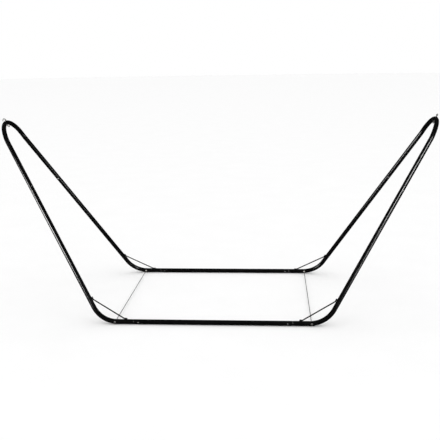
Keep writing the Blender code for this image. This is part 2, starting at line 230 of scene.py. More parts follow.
@dataclass(frozen=True)
class StandPlan:
    """Sizes and places that every sub-assembly shares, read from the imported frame."""

    tube: TubeStock
    track_half: float
    rail_half: float
    crowns: dict[Side, Crown]
    touch: float = 0.0003
    lean: float = math.radians(31.5)
    splay: float = math.radians(17.8)
    knee_foot: float = 0.206
    knee_radius: float = 0.175
    arm_length: float = 0.987
    bow_radius: float = 0.173
    reduced_length: float = 0.060
    cone_length: float = 0.004
    button_setback: float = 0.030
    button_hole: float = 0.0039
    hole_margin: float = 0.008

    @classmethod
    def from_frame(cls, joints: Iterable[dict]) -> "StandPlan":
        """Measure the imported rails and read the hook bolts' joints.

        Args:
            joints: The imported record's joints.

        Returns:
            The plan.
        """
        low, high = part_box("rail_front")
        crowns = {}
        for side in Side:
            joint = next(j for j in joints if j["name"] == f"hook_{side.word}_turn")
            crowns[side] = Crown(side, Vector(joint["pos_m"]), Vector(joint["axis"]))
        tube = TubeStock(radius=(high.z - low.z) / 2.0)
        return cls(tube=tube, track_half=-(low.y + high.y) / 2.0, rail_half=high.x, crowns=crowns)

    def corner(self, row: Row, side: Side) -> Corner:
        """Work out one corner of the frame.

        Args:
            row: Front or rear.
            side: Left or right.

        Returns:
            The corner.
        """
        reach = self.rail_half + self.touch + self.knee_foot
        point = Vector((side.value * reach, row.value * self.track_half, self.tube.radius))
        up_arm = Vector((
            side.value * math.sin(self.lean) * math.cos(self.splay),
            -row.value * math.sin(self.splay),
            math.cos(self.lean) * math.cos(self.splay),
        ))
        return Corner(row, side, point, up_arm)

    @property
    def button_marks(self) -> tuple[float, float]:
        """Distances from a joint's shoulder between which the button's hole lies."""
        return self.button_setback - self.hole_margin, self.button_setback + self.hole_margin

    def button_drill(self, centre: Vector, along: Vector) -> tuple[Matrix, float, float, float]:
        """Place the hole for a snap button in a tube's front face.

        Args:
            centre: The button's place on the tube's axis.
            along: Direction of the tube.

        Returns:
            One hole, as drill takes it.
        """
        matrix = placing(centre, front_facing(along), along)
        return matrix, self.button_hole, self.tube.drill_near, self.tube.drill_far


# ---------------------------------------------------------------- mesh building


class RoundRun:
    """A round skin that grows rim by rim along its own line."""

    def __init__(self, start: Vector, along: Vector, radius: float, sides: int) -> None:
        """Lay the first rim.

        Args:
            start: Centre of the first rim.
            along: Direction in which the skin grows.
            radius: Radius of the first rim.
            sides: Number of sides of every rim.
        """
        self.shape = bmesh.new()
        self.at = start.copy()
        self.along = along.normalized()
        self.radius = radius
        self.line = [start.copy()]
        matrix = placing(start, self.along, any_square(self.along))
        made = bmesh.ops.create_circle(
            self.shape, cap_ends=False, segments=sides, radius=radius, matrix=matrix,
        )
        self.first = list(made["verts"])
        self.rim = list({edge for vert in self.first for edge in vert.link_edges})

    def _grow(self) -> list:
        """Extrude the last rim in place.

        Returns:
            The new rim's vertices.
        """
        grown = bmesh.ops.extrude_edge_only(self.shape, edges=self.rim)["geom"]
        verts = [item for item in grown if isinstance(item, bmesh.types.BMVert)]
        fresh = set(verts)
        edges = {edge for vert in verts for edge in vert.link_edges}
        self.rim = [edge for edge in edges if set(edge.verts) <= fresh]
        return verts

    def _swell(self, verts: list, radius: float) -> None:
        """Scale a rim about the line to another radius.

        Args:
            verts: The rim's vertices.
            radius: The radius it gets.
        """
        factor = radius / self.radius
        bmesh.ops.scale(
            self.shape, vec=(factor, factor, factor), space=Matrix.Translation(-self.at), verts=verts,
        )
        self.radius = radius

    def run(self, length: float, radius: float | None = None) -> "RoundRun":
        """Grow straight on.

        Args:
            length: How far.
            radius: Radius at the far end, where it changes.

        Returns:
            The run itself.
        """
        verts = self._grow()
        bmesh.ops.translate(self.shape, vec=self.along * length, verts=verts)
        self.at = self.at + self.along * length
        self.line.append(self.at.copy())
        if radius is not None:
            self._swell(verts, radius)
        return self

    def cone(self, length: float, middle: float, radius: float) -> "RoundRun":
        """Grow a rounded cone to another radius.

        Args:
            length: Length of the cone.
            middle: Radius half way along it.
            radius: Radius at its far end.

        Returns:
            The run itself.
        """
        return self.run(length * 0.5, middle).run(length * 0.5, radius)

    def run_to(self, point: Vector, marks: Iterable[float] = ()) -> "RoundRun":
        """Grow straight to a point ahead, with extra rims on the way and close to both ends.

        Args:
            point: Where the straight ends.
            marks: Distances back from the end at which a rim is laid.

        Returns:
            The run itself.
        """
        reach = (point - self.at).dot(self.along)
        ends = {HOLD, reach - HOLD, reach} if reach > 3.0 * HOLD else {reach}
        stops = sorted({reach - mark for mark in marks if HOLD < mark < reach - HOLD} | ends)
        walked = 0.0
        for stop in stops:
            self.run(stop - walked)
            walked = stop
        return self

    def face(self, along: Vector) -> "RoundRun":
        """Turn the last rim to face a new direction.

        Args:
            along: The new direction.

        Returns:
            The run itself.
        """
        turn = self.along.rotation_difference(along).to_matrix()
        verts = list({vert for edge in self.rim for vert in edge.verts})
        bmesh.ops.rotate(self.shape, cent=self.at, matrix=turn, verts=verts)
        self.along = along.normalized()
        return self

    def bend(self, centre: Vector, axis: Vector, angle: float, steps: int) -> "RoundRun":
        """Grow round an arc.

        Args:
            centre: Centre of the arc.
            axis: Axis that the arc turns about.
            angle: How far it turns.
            steps: Number of rims.

        Returns:
            The run itself.
        """
        turn = Matrix.Rotation(angle / steps, 3, axis)
        for _ in range(steps):
            verts = self._grow()
            bmesh.ops.rotate(self.shape, cent=centre, matrix=turn, verts=verts)
            self.at = centre + turn @ (self.at - centre)
            self.along = (turn @ self.along).normalized()
            self.line.append(self.at.copy())
        return self

    def bend_to(self, along: Vector, radius: float, steps: int) -> "RoundRun":
        """Grow round an arc of known radius until the line takes a new direction.

        Args:
            along: Direction after the bend.
            radius: Radius of the bend, to the line.
            steps: Number of rims.

        Returns:
            The run itself.
        """
        axis = self.along.cross(along).normalized()
        centre = self.at + axis.cross(self.along) * radius
        return self.bend(centre, axis, self.along.angle(along), steps)

    def follow(self, points: list[Vector]) -> "RoundRun":
        """Grow through points of a smooth line, each rim square to it.

        Args:
            points: The points, the first of them ahead of the last rim.

        Returns:
            The run itself.
        """
        for index, point in enumerate(points):
            verts = self._grow()
            bmesh.ops.translate(self.shape, vec=point - self.at, verts=verts)
            ahead = points[min(index + 1, len(points) - 1)]
            tangent = (ahead - self.at).normalized()
            turn = self.along.rotation_difference(tangent).to_matrix()
            self.at = point.copy()
            bmesh.ops.rotate(self.shape, cent=self.at, matrix=turn, verts=verts)
            self.along = tangent
            self.line.append(self.at.copy())
        return self

    def cap(self, rounding: float) -> "RoundRun":
        """Close both ends with a rounded rim.

        Args:
            rounding: Size of the rounding at the rims.

        Returns:
            The run itself.
        """
        last = list({vert for edge in self.rim for vert in edge.verts})
        lids = []
        for verts in (self.first, last):
            lids += bmesh.ops.contextual_create(self.shape, geom=ring_edges(verts))["faces"]
        rims = list({edge for lid in lids for edge in lid.edges})
        soften(self.shape, rims, rounding)
        return self

    def mesh(self, name: str) -> bpy.types.Mesh:
        """Turn the skin into a mesh with its faces outwards.

        Args:
            name: Name of the mesh.

        Returns:
            The mesh.
        """
        return to_mesh(self.shape, name)


def eased(points: list[Vector], reach: int, passes: int) -> list[Vector]:
    """Smooth a line where each of its two ends joins its middle.

    Args:
        points: Evenly spaced points.
        reach: Points on either side of each joint that may move.
        passes: How many times they are smoothed.

    Returns:
        The smoothed points.
    """
    line = [point.copy() for point in points]
    near = list(range(1, 2 * reach)) + list(range(len(line) - 2 * reach, len(line) - 1))
    for _ in range(passes):
        fresh = [(line[index - 1] + line[index] * 2.0 + line[index + 1]) / 4.0 for index in near]
        for index, point in zip(near, fresh):
            line[index] = point
    return line


def ring_edges(verts: Iterable) -> list:
    """Find the edges whose two ends are both among some vertices."""
    chosen = set(verts)
    return list({edge for vert in chosen for edge in vert.link_edges if set(edge.verts) <= chosen})


def soften(shape: bmesh.types.BMesh, edges: list, width: float, segments: int = 2) -> None:
    """Round some edges.

    Args:
        shape: The mesh being built.
        edges: The edges to round.
        width: Size of the rounding.
        segments: Number of faces across it.
    """
    bmesh.ops.bevel(
        shape, geom=edges, offset=width, offset_type="OFFSET", segments=segments, profile=0.5,
        affect="EDGES", clamp_overlap=True, material=-1,
    )


def soften_sharp(
    shape: bmesh.types.BMesh, width: float, degrees: float = 40.0, segments: int = 2,
) -> None:
    """Round every edge that is sharper than an angle.

    Args:
        shape: The mesh being built.
        width: Size of the rounding.
        degrees: Turn between faces past which an edge is rounded.
        segments: Number of faces across it.
    """
    limit = math.radians(degrees)
    folds = [edge for edge in shape.edges if len(edge.link_faces) == 2]
    sharp = [edge for edge in folds if edge.calc_face_angle(0.0) > limit]
    soften(shape, sharp, width, segments)


def to_mesh(shape: bmesh.types.BMesh, name: str) -> bpy.types.Mesh:
    """Merge doubles, point the faces outwards and write a mesh.

    Args:
        shape: The mesh being built, which is freed.
        name: Name of the mesh.

    Returns:
        The mesh.
    """
    bmesh.ops.remove_doubles(shape, verts=shape.verts, dist=MERGE)
    bmesh.ops.recalc_face_normals(shape, faces=shape.faces)
    mesh = bpy.data.meshes.new(name)
    shape.to_mesh(mesh)
    shape.free()
    return mesh


def turned(
    name: str, profile: list[tuple[float, float]], steps: int, matrix: Matrix,
    rounding: float = 0.0, closed: bool = True,
) -> bpy.types.Mesh:
    """Turn a profile about Z, as on a lathe.

    Args:
        name: Name of the mesh.
        profile: Radius and height of each point, in order.
        steps: Number of steps round.
        matrix: Where the turned shape goes.
        rounding: Size of the rounding of its sharp edges.
        closed: Whether the last point joins the first, as in a ring.

    Returns:
        The mesh.
    """
    shape = bmesh.new()
    points = [shape.verts.new((radius, 0.0, height)) for radius, height in profile]
    ends = points[1:] + points[:1] if closed else points[1:]
    lines = [shape.edges.new(pair) for pair in zip(points, ends)]
    bmesh.ops.spin(
        shape, geom=points + lines, cent=(0.0, 0.0, 0.0), axis=(0.0, 0.0, 1.0), dvec=(0.0, 0.0, 0.0),
        angle=math.tau, steps=steps, use_merge=True,
    )
    bmesh.ops.remove_doubles(shape, verts=shape.verts, dist=MERGE)
    bmesh.ops.recalc_face_normals(shape, faces=shape.faces)
    if rounding > 0.0:
        soften_sharp(shape, rounding)
    bmesh.ops.transform(shape, matrix=matrix, verts=shape.verts)
    return to_mesh(shape, name)


def piece(name: str, mesh: bpy.types.Mesh) -> bpy.types.Object:
    """Add a mesh to the scene as an object at the origin.

    Args:
        name: Name of the piece.
        mesh: Its mesh, already in place.

    Returns:
        The piece.
    """
    made = bpy.data.objects.new(name, mesh)
    bpy.context.scene.collection.objects.link(made)
    return made


def settle(made: bpy.types.Object) -> None:
    """Apply a piece's modifiers and drop them.

    Args:
        made: The piece.
    """
    depsgraph = bpy.context.evaluated_depsgraph_get()
    settled = bpy.data.meshes.new_from_object(made.evaluated_get(depsgraph))
    settled.name = made.data.name
    made.modifiers.clear()
    made.data = settled


def wall(made: bpy.types.Object, thickness: float) -> None:
    """Give a skin its wall, inwards, with rounded ends.

    Args:
        made: The piece.
        thickness: Thickness of the wall.
    """
    step = made.modifiers.new("wall", "SOLIDIFY")
    step.thickness = thickness
    step.offset = -1.0
    step.use_even_offset = True
    settle(made)
    shape = bmesh.new()
    shape.from_mesh(made.data)
    soften_sharp(shape, thickness * 0.22, 60.0)
    shape.to_mesh(made.data)
    shape.free()


def drill(made: bpy.types.Object, holes: list[tuple[Matrix, float, float, float]]) -> None:
    """Drill round holes through a piece.

    Args:
        made: The piece.
        holes: For each hole, the matrix whose Z it runs along, its radius, and its two ends on Z.
    """
    tools = []
    for matrix, radius, low, high in holes:
        shape = bmesh.new()
        bmesh.ops.create_cone(
            shape, cap_ends=True, segments=28, radius1=radius, radius2=radius, depth=high - low,
            matrix=matrix @ Matrix.Translation((0.0, 0.0, (low + high) / 2.0)),
        )
        tool = piece("drill_bit", to_mesh(shape, "drill_bit"))
        step = made.modifiers.new("hole", "BOOLEAN")
        step.object = tool
        step.operation = "DIFFERENCE"
        step.solver = "EXACT"
        tools.append(tool)
    settle(made)
    for tool in tools:
        bpy.data.objects.remove(tool, do_unlink=True)


def lay_along(made: bpy.types.Object, line: list[Vector]) -> None:
    """Store each vertex's place on the piece as if its line were straight.

    Patterns that follow a bent tube read this attribute: X and Y are square to the
    line and Z is the distance along it.

    Args:
        made: The piece.
        line: Points of the piece's own line.
    """
    mesh = made.data
    count = len(mesh.vertices)
    flat = np.empty(count * 3)
    mesh.vertices.foreach_get("co", flat)
    points = flat.reshape(-1, 3)
    best = np.full(count, np.inf)
    lay = np.zeros((count, 3))
    walked = 0.0
    along = (line[1] - line[0]).normalized()
    side = any_square(along)
    for start, end in zip(line, line[1:]):
        step = end - start
        if step.length < MERGE:
            continue
        side = along.rotation_difference(step.normalized()) @ side
        along = step.normalized()
        other = along.cross(side)
        offset = points - np.array(start)
        reach = offset @ np.array(along)
        near = np.clip(reach, 0.0, step.length)
        gap = np.linalg.norm(offset - near[:, None] * np.array(along), axis=1)
        closer = gap < best - MERGE
        best[closer] = gap[closer]
        lay[closer, 0] = (offset @ np.array(side))[closer]
        lay[closer, 1] = (offset @ np.array(other))[closer]
        lay[closer, 2] = (walked + reach)[closer]
        walked += step.length
    stored = mesh.attributes.new(LAY, "FLOAT_VECTOR", "POINT")
    stored.data.foreach_set("vector", lay.astype(np.float32).ravel())
    rim = mesh.attributes.new(RIM, "FLOAT", "POINT")
    rim.data.foreach_set("value", np.minimum(lay[:, 2], walked - lay[:, 2]).astype(np.float32))


def dress(
    made: bpy.types.Object, material: bpy.types.Material, body: str, nodes: Iterable[str] = (),
    degrees: float = 32.0,
) -> bpy.types.Object:
    """Give a piece its finish and set it on the body that carries it.

    Args:
        made: The piece.
        material: Its finish.
        body: The body it rides on.
        nodes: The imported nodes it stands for.
        degrees: Turn between faces past which an edge is shown sharp.

    Returns:
        The piece.
    """
    made.data.materials.clear()
    made.data.materials.append(material)
    made.data.shade_smooth()
    made.data.set_sharp_from_angle(angle=math.radians(degrees))
    if LAY not in made.data.attributes:
        low = Vector(made.bound_box[0])
        lay_along(made, [low, low + UP])
    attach(made, body)
    if nodes:
        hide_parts(*nodes)
    LOG.info("%s: %d faces on %s", made.name, len(made.data.polygons), body)
    return made


# ---------------------------------------------------------------- shader node groups


class NodeTree:
    """A small helper that adds and links shader nodes."""

    def __init__(self, tree: bpy.types.NodeTree) -> None:
        """Work on one tree."""
        self.tree = tree

    def add(self, kind: str, **settings: object) -> bpy.types.Node:
        """Add a node and set its own properties.

        Args:
            kind: The node's type.
            settings: Its properties.

        Returns:
            The node.
        """
        node = self.tree.nodes.new(kind)
        for key, value in settings.items():
            setattr(node, key, value)
        return node

    def link(self, source: bpy.types.NodeSocket, target: bpy.types.NodeSocket) -> None:
        """Link two sockets."""
        self.tree.links.new(source, target)

    def noise(
        self, vector: bpy.types.NodeSocket, scale: float, detail: float,
    ) -> bpy.types.NodeSocket:
        """Add a noise.

        Args:
            vector: Where its coordinates come from.
            scale: Its scale.
            detail: Its detail.

        Returns:
            Its value.
        """
        node = self.add("ShaderNodeTexNoise")
        node.inputs["Scale"].default_value = scale
        node.inputs["Detail"].default_value = detail
        self.link(vector, node.inputs["Vector"])
        return node.outputs["Fac"]

    def ramp(
        self, value: bpy.types.NodeSocket, low: float, high: float,
        to_low: float = 0.0, to_high: float = 1.0,
    ) -> bpy.types.NodeSocket:
        """Map a range of a value to another range, held within it.

        Args:
            value: The value.
            low: Where the range starts.
            high: Where it ends.
            to_low: What the start becomes.
            to_high: What the end becomes.

        Returns:
            The mapped value.
        """
        node = self.add("ShaderNodeMapRange", clamp=True)
        names = ("From Min", "From Max", "To Min", "To Max")
        for name, number in zip(names, (low, high, to_low, to_high)):
            node.inputs[name].default_value = number
        self.link(value, node.inputs["Value"])
        return node.outputs["Result"]

    def sum(self, kind: str, first: bpy.types.NodeSocket, second: object) -> bpy.types.NodeSocket:
        """Do one sum.

        Args:
            kind: The operation.
            first: The first value.
            second: The second value, as a socket or a number.

        Returns:
            The result.
        """
        node = self.add("ShaderNodeMath", operation=kind)
        self.link(first, node.inputs[0])
        if isinstance(second, bpy.types.NodeSocket):
            self.link(second, node.inputs[1])
        else:
            node.inputs[1].default_value = second
        return node.outputs[0]

    def blend(self, factor: bpy.types.NodeSocket, first: object, second: object) -> bpy.types.NodeSocket:
        """Mix two colours.

        Args:
            factor: The share of the second.
            first: A colour or the socket of one.
            second: A colour or the socket of one.

        Returns:
            The mixed colour.
        """
        node = self.add("ShaderNodeMix", data_type="RGBA")
        self.link(factor, node.inputs["Factor"])
        for key, colour in ((MIX_FIRST, first), (MIX_SECOND, second)):
            if isinstance(colour, bpy.types.NodeSocket):
                self.link(colour, node.inputs[key])
            else:
                node.inputs[key].default_value = (*colour, 1.0)
        return node.outputs[MIX_RESULT]


def make_group(
    name: str, inputs: dict[str, float], outputs: Iterable[str], build: Callable,
) -> bpy.types.NodeTree:
    """Make a shader node group with a Vector input, number inputs and value outputs.

    Args:
        name: The group's name.
        inputs: Each number input and its usual value.
        outputs: The names of the value outputs.
        build: Function that is given the helper, the input node and the output node.

    Returns:
        The group.
    """
    group = bpy.data.node_groups.new(name, "ShaderNodeTree")
    group.interface.new_socket("Vector", in_out="INPUT", socket_type="NodeSocketVector")
    for label, value in inputs.items():
        socket = group.interface.new_socket(label, in_out="INPUT", socket_type="NodeSocketFloat")
        socket.default_value = value
    for label in outputs:
        group.interface.new_socket(label, in_out="OUTPUT", socket_type="NodeSocketFloat")
    tree = NodeTree(group)
    build(tree, tree.add("NodeGroupInput"), tree.add("NodeGroupOutput"))
    return group


def build_handling_wear(tree: NodeTree, given: bpy.types.Node, out: bpy.types.Node) -> None:
    """Scuffs that run along the piece, and broad smudges from hands.

    Args:
        tree: The group's helper.
        given: Its input node.
        out: Its output node.
    """
    stretch = tree.add("ShaderNodeMapping")
    stretch.inputs["Scale"].default_value = (1.0, 1.0, 0.035)
    tree.link(given.outputs["Vector"], stretch.inputs["Vector"])
    scratches = tree.noise(stretch.outputs["Vector"], 900.0, 2.0)
    patches = tree.ramp(tree.noise(given.outputs["Vector"], 14.0, 4.0), 0.54, 0.68)
    lines = tree.ramp(scratches, 0.66, 0.72)
    worn = tree.sum("MULTIPLY", lines, patches)
    tree.link(tree.sum("MULTIPLY", worn, given.outputs["Amount"]), out.inputs["Scuffs"])
    tree.link(tree.ramp(tree.noise(given.outputs["Vector"], 22.0, 5.0), 0.35, 0.7), out.inputs["Smudges"])


def build_orange_peel(tree: NodeTree, given: bpy.types.Node, out: bpy.types.Node) -> None:
    """The faint ripple of a baked powder coat.

    Args:
        tree: The group's helper.
        given: Its input node.
        out: Its output node.
    """
    scaled = tree.add("ShaderNodeVectorMath", operation="SCALE")
    tree.link(given.outputs["Vector"], scaled.inputs[0])
    tree.link(given.outputs["Grain"], scaled.inputs["Scale"])
    broad = tree.noise(scaled.outputs["Vector"], 1.0, 1.0)
    fine = tree.noise(scaled.outputs["Vector"], 3.6, 2.0)
    tree.link(tree.sum("ADD", broad, tree.sum("MULTIPLY", fine, 0.25)), out.inputs["Height"])


def build_settled_dust(tree: NodeTree, given: bpy.types.Node, out: bpy.types.Node) -> None:
    """Dust on what faces up, in patches.

    Args:
        tree: The group's helper.
        given: Its input node.
        out: Its output node.
    """
    geometry = tree.add("ShaderNodeNewGeometry")
    split = tree.add("ShaderNodeSeparateXYZ")
    tree.link(geometry.outputs["Normal"], split.inputs["Vector"])
    facing = tree.ramp(split.outputs["Z"], 0.35, 1.0)
    patchy = tree.ramp(tree.noise(given.outputs["Vector"], 60.0, 6.0), 0.3, 0.75)
    specks = tree.ramp(tree.noise(given.outputs["Vector"], 1400.0, 2.0), 0.55, 0.7)
    loose = tree.sum("MULTIPLY", tree.sum("ADD", patchy, specks), facing)
    tree.link(tree.sum("MULTIPLY", loose, given.outputs["Amount"]), out.inputs["Dust"])


class Effects:
    """The node groups that several finishes share, each built once."""

    def __init__(self) -> None:
        """Build the groups."""
        self.wear = make_group("handling_wear", {"Amount": 1.0}, ("Scuffs", "Smudges"), build_handling_wear)
        self.peel = make_group("orange_peel", {"Grain": 600.0}, ("Height",), build_orange_peel)
        self.dust = make_group("settled_dust", {"Amount": 0.1}, ("Dust",), build_settled_dust)


class Canvas(NodeTree):
    """A new material's nodes, with its shader and the piece's own coordinates."""

    def __init__(self, name: str, effects: Effects) -> None:
        """Start a material.

        Args:
            name: Its name.
            effects: The shared node groups.
        """
        self.material = bpy.data.materials.new(name)
        self.material.use_nodes = True
        super().__init__(self.material.node_tree)
        self.effects = effects
        self.shader = self.tree.nodes["Principled BSDF"]
        self.place = self.add("ShaderNodeAttribute", attribute_name=LAY).outputs["Vector"]
        self.room = self.add("ShaderNodeTexCoord").outputs["Object"]

    def group(
        self, tree: bpy.types.NodeTree, vector: bpy.types.NodeSocket, **numbers: float,
    ) -> bpy.types.Node:
        """Place a shared effect.

        Args:
            tree: The node group.
            vector: Its coordinates.
            numbers: Its number inputs.

        Returns:
            The group node.
        """
        node = self.add("ShaderNodeGroup", node_tree=tree)
        self.link(vector, node.inputs["Vector"])
        for label, value in numbers.items():
            node.inputs[label].default_value = value
        return node

    def bump(self, height: bpy.types.NodeSocket, distance: float) -> None:
        """Raise the surface by a height.

        Args:
            height: The height, from 0 to 1 or so.
            distance: What a height of 1 stands for.
        """
        node = self.add("ShaderNodeBump")
        node.inputs["Strength"].default_value = 1.0
        node.inputs["Distance"].default_value = distance
        self.link(height, node.inputs["Height"])
        self.link(node.outputs["Normal"], self.shader.inputs["Normal"])


# ---------------------------------------------------------------- finishes


@dataclass(frozen=True)
class PowderCoat:
    """Gloss black powder coat, baked on."""

    name: str = "gloss_black_powder_coat"
    colour: tuple[float, float, float] = (0.0020, 0.0020, 0.0021)
    tint: tuple[float, float, float] = (0.0034, 0.0034, 0.0036)
    dust_colour: tuple[float, float, float] = (0.22, 0.20, 0.18)
    scuff_colour: tuple[float, float, float] = (0.035, 0.035, 0.036)
    steel: tuple[float, float, float] = (0.30, 0.29, 0.28)
    roughness: float = 0.13
    grain: float = 620.0
    peel: float = 0.00003
    dust: float = 0.012
    scuffs: float = 0.55
    chip_reach: float = 0.0022

    def make(self, effects: Effects) -> bpy.types.Material:
        """Build the material.

        Args:
            effects: The shared node groups.

        Returns:
            The material.
        """
        canvas = Canvas(self.name, effects)
        wear = canvas.group(effects.wear, canvas.place, Amount=self.scuffs)
        dust = canvas.group(effects.dust, canvas.room, Amount=self.dust)
        rim = canvas.add("ShaderNodeAttribute", attribute_name=RIM).outputs["Fac"]
        near = canvas.ramp(rim, 0.0, self.chip_reach, 1.0, 0.0)
        ragged = canvas.sum("ADD", near, canvas.noise(canvas.room, 420.0, 5.0))
        chips = canvas.ramp(ragged, 1.16, 1.24)
        peel = canvas.group(effects.peel, canvas.room, Grain=self.grain)
        smudges = wear.outputs["Smudges"]
        colour = canvas.blend(smudges, self.colour, self.tint)
        colour = canvas.blend(wear.outputs["Scuffs"], colour, self.scuff_colour)
        colour = canvas.blend(dust.outputs["Dust"], colour, self.dust_colour)
        colour = canvas.blend(chips, colour, self.steel)
        canvas.link(colour, canvas.shader.inputs["Base Color"])
        canvas.link(canvas.sum("MULTIPLY", chips, 0.9), canvas.shader.inputs["Metallic"])
        rough = canvas.ramp(smudges, 0.0, 1.0, self.roughness, self.roughness + 0.08)
        rough = canvas.sum("ADD", rough, canvas.sum("MULTIPLY", chips, 0.22))
        rough = canvas.sum("ADD", rough, canvas.sum("MULTIPLY", wear.outputs["Scuffs"], 0.30))
        rough = canvas.sum("ADD", rough, canvas.sum("MULTIPLY", dust.outputs["Dust"], 0.9))
        canvas.link(rough, canvas.shader.inputs["Roughness"])
        height = canvas.sum("SUBTRACT", peel.outputs["Height"], wear.outputs["Scuffs"])
        height = canvas.sum("SUBTRACT", height, canvas.sum("MULTIPLY", chips, 2.0))
        canvas.bump(height, self.peel)
        canvas.shader.inputs["IOR"].default_value = 1.5
        return canvas.material


@dataclass(frozen=True)
class ZincPlate:
    """Bright zinc plate over steel, with a faint passivate tint."""

    name: str = "bright_zinc_plate"
    colour: tuple[float, float, float] = (0.58, 0.59, 0.62)
    tint: tuple[float, float, float] = (0.66, 0.62, 0.52)
    stain: tuple[float, float, float] = (0.20, 0.20, 0.21)
    roughness: float = 0.24
    metallic: float = 0.70

    def make(self, effects: Effects) -> bpy.types.Material:
        """Build the material.

        Args:
            effects: The shared node groups.

        Returns:
            The material.
        """
        canvas = Canvas(self.name, effects)
        wear = canvas.group(effects.wear, canvas.place, Amount=0.8)
        cloud = canvas.ramp(canvas.noise(canvas.room, 180.0, 4.0), 0.35, 0.7)
        spots = canvas.ramp(canvas.noise(canvas.room, 700.0, 3.0), 0.60, 0.74)
        colour = canvas.blend(cloud, self.colour, self.tint)
        colour = canvas.blend(canvas.sum("MULTIPLY", spots, 0.55), colour, self.stain)
        canvas.link(colour, canvas.shader.inputs["Base Color"])
        rough = canvas.ramp(cloud, 0.0, 1.0, self.roughness, self.roughness + 0.14)
        rough = canvas.sum("ADD", rough, canvas.sum("MULTIPLY", spots, 0.25))
        canvas.link(rough, canvas.shader.inputs["Roughness"])
        height = canvas.sum("SUBTRACT", canvas.noise(canvas.room, 2600.0, 2.0), wear.outputs["Scuffs"])
        canvas.bump(height, 0.000015)
        canvas.shader.inputs["Metallic"].default_value = self.metallic
        return canvas.material


@dataclass(frozen=True)
class VinylCoat:
    """Black vinyl drawn tight over a laid wire rope, with a painted highlight on the strands' crests and
    painted shade in the valleys.
    """

    name: str = "black_vinyl_over_rope"
    colour: tuple[float, float, float] = (0.010, 0.010, 0.011)
    # The crest colour is the vinyl's own black painted lighter: a painted highlight on the strands' crests,
    # which leaves painted shade in the valleys.
    crest: tuple[float, float, float] = (0.022, 0.022, 0.023)
    dust_colour: tuple[float, float, float] = (0.16, 0.15, 0.135)
    roughness: float = 0.36
    valley: float = 0.00178
    ridge: float = 0.00198

    def make(self, effects: Effects) -> bpy.types.Material:
        """Build the material.

        Args:
            effects: The shared node groups.

        Returns:
            The material.
        """
        canvas = Canvas(self.name, effects)
        flat = canvas.add("ShaderNodeMapping")
        flat.inputs["Scale"].default_value = (1.0, 1.0, 0.0)
        canvas.link(canvas.place, flat.inputs["Vector"])
        length = canvas.add("ShaderNodeVectorMath", operation="LENGTH")
        canvas.link(flat.outputs["Vector"], length.inputs[0])
        # Painted highlight and shade: the colour turns lighter towards the strands' crests and darker in
        # the valleys, by distance from the rope's line alone.
        crest_highlight_mask = canvas.ramp(length.outputs["Value"], self.valley, self.ridge)
        hollow = canvas.ramp(length.outputs["Value"], self.valley, self.ridge, 0.35, 0.0)
        grime = canvas.sum("MULTIPLY", hollow, canvas.noise(canvas.room, 90.0, 5.0))
        dust = canvas.group(effects.dust, canvas.room, Amount=0.03)
        colour = canvas.blend(crest_highlight_mask, self.colour, self.crest)
        colour = canvas.blend(canvas.sum("ADD", grime, dust.outputs["Dust"]), colour, self.dust_colour)
        canvas.link(colour, canvas.shader.inputs["Base Color"])
        cloud = canvas.noise(canvas.room, 300.0, 4.0)
        rough = canvas.ramp(cloud, 0.3, 0.7, self.roughness, self.roughness + 0.16)
        canvas.link(rough, canvas.shader.inputs["Roughness"])
        canvas.bump(canvas.noise(canvas.room, 3200.0, 2.0), 0.00002)
        return canvas.material


@dataclass(frozen=True)
class NaturalNylon:
    """Off-white moulded nylon."""

    name: str = "natural_nylon"
    colour: tuple[float, float, float] = (0.66, 0.65, 0.61)
    tint: tuple[float, float, float] = (0.54, 0.51, 0.44)
    roughness: float = 0.38

    def make(self, effects: Effects) -> bpy.types.Material:
        """Build the material.

        Args:
            effects: The shared node groups.

        Returns:
            The material.
        """
        canvas = Canvas(self.name, effects)
        cloud = canvas.ramp(canvas.noise(canvas.room, 240.0, 4.0), 0.35, 0.7)
        colour = canvas.blend(cloud, self.colour, self.tint)
        canvas.link(colour, canvas.shader.inputs["Base Color"])
        rough = canvas.ramp(cloud, 0.0, 1.0, self.roughness, self.roughness + 0.15)
        canvas.link(rough, canvas.shader.inputs["Roughness"])
        canvas.bump(canvas.noise(canvas.room, 4000.0, 2.0), 0.00001)
        return canvas.material


@dataclass(frozen=True)
class Finishes:
    """Every finish on the stand, made once."""

    coat: bpy.types.Material
    weld: bpy.types.Material
    spring: bpy.types.Material
    bolt: bpy.types.Material
    vinyl: bpy.types.Material
    nylon: bpy.types.Material

    @classmethod
    def make(cls) -> "Finishes":
        """Build every material.

        Returns:
            The finishes.
        """
        effects = Effects()
        return cls(
            coat=PowderCoat().make(effects),
            weld=PowderCoat(
                name="coated_weld", roughness=0.24, grain=1500.0, peel=0.00008, dust=0.02,
            ).make(effects),
            spring=ZincPlate(
                name="plated_spring_steel", colour=(0.66, 0.66, 0.66), tint=(0.58, 0.57, 0.54),
                roughness=0.16,
            ).make(effects),
            bolt=ZincPlate(
                name="weathered_zinc_plate", colour=(0.34, 0.34, 0.355), tint=(0.42, 0.40, 0.35),
                roughness=0.30, metallic=0.85,
            ).make(effects),
            vinyl=VinylCoat().make(effects),
            nylon=NaturalNylon().make(effects),
        )


# ---------------------------------------------------------------- sub-assemblies


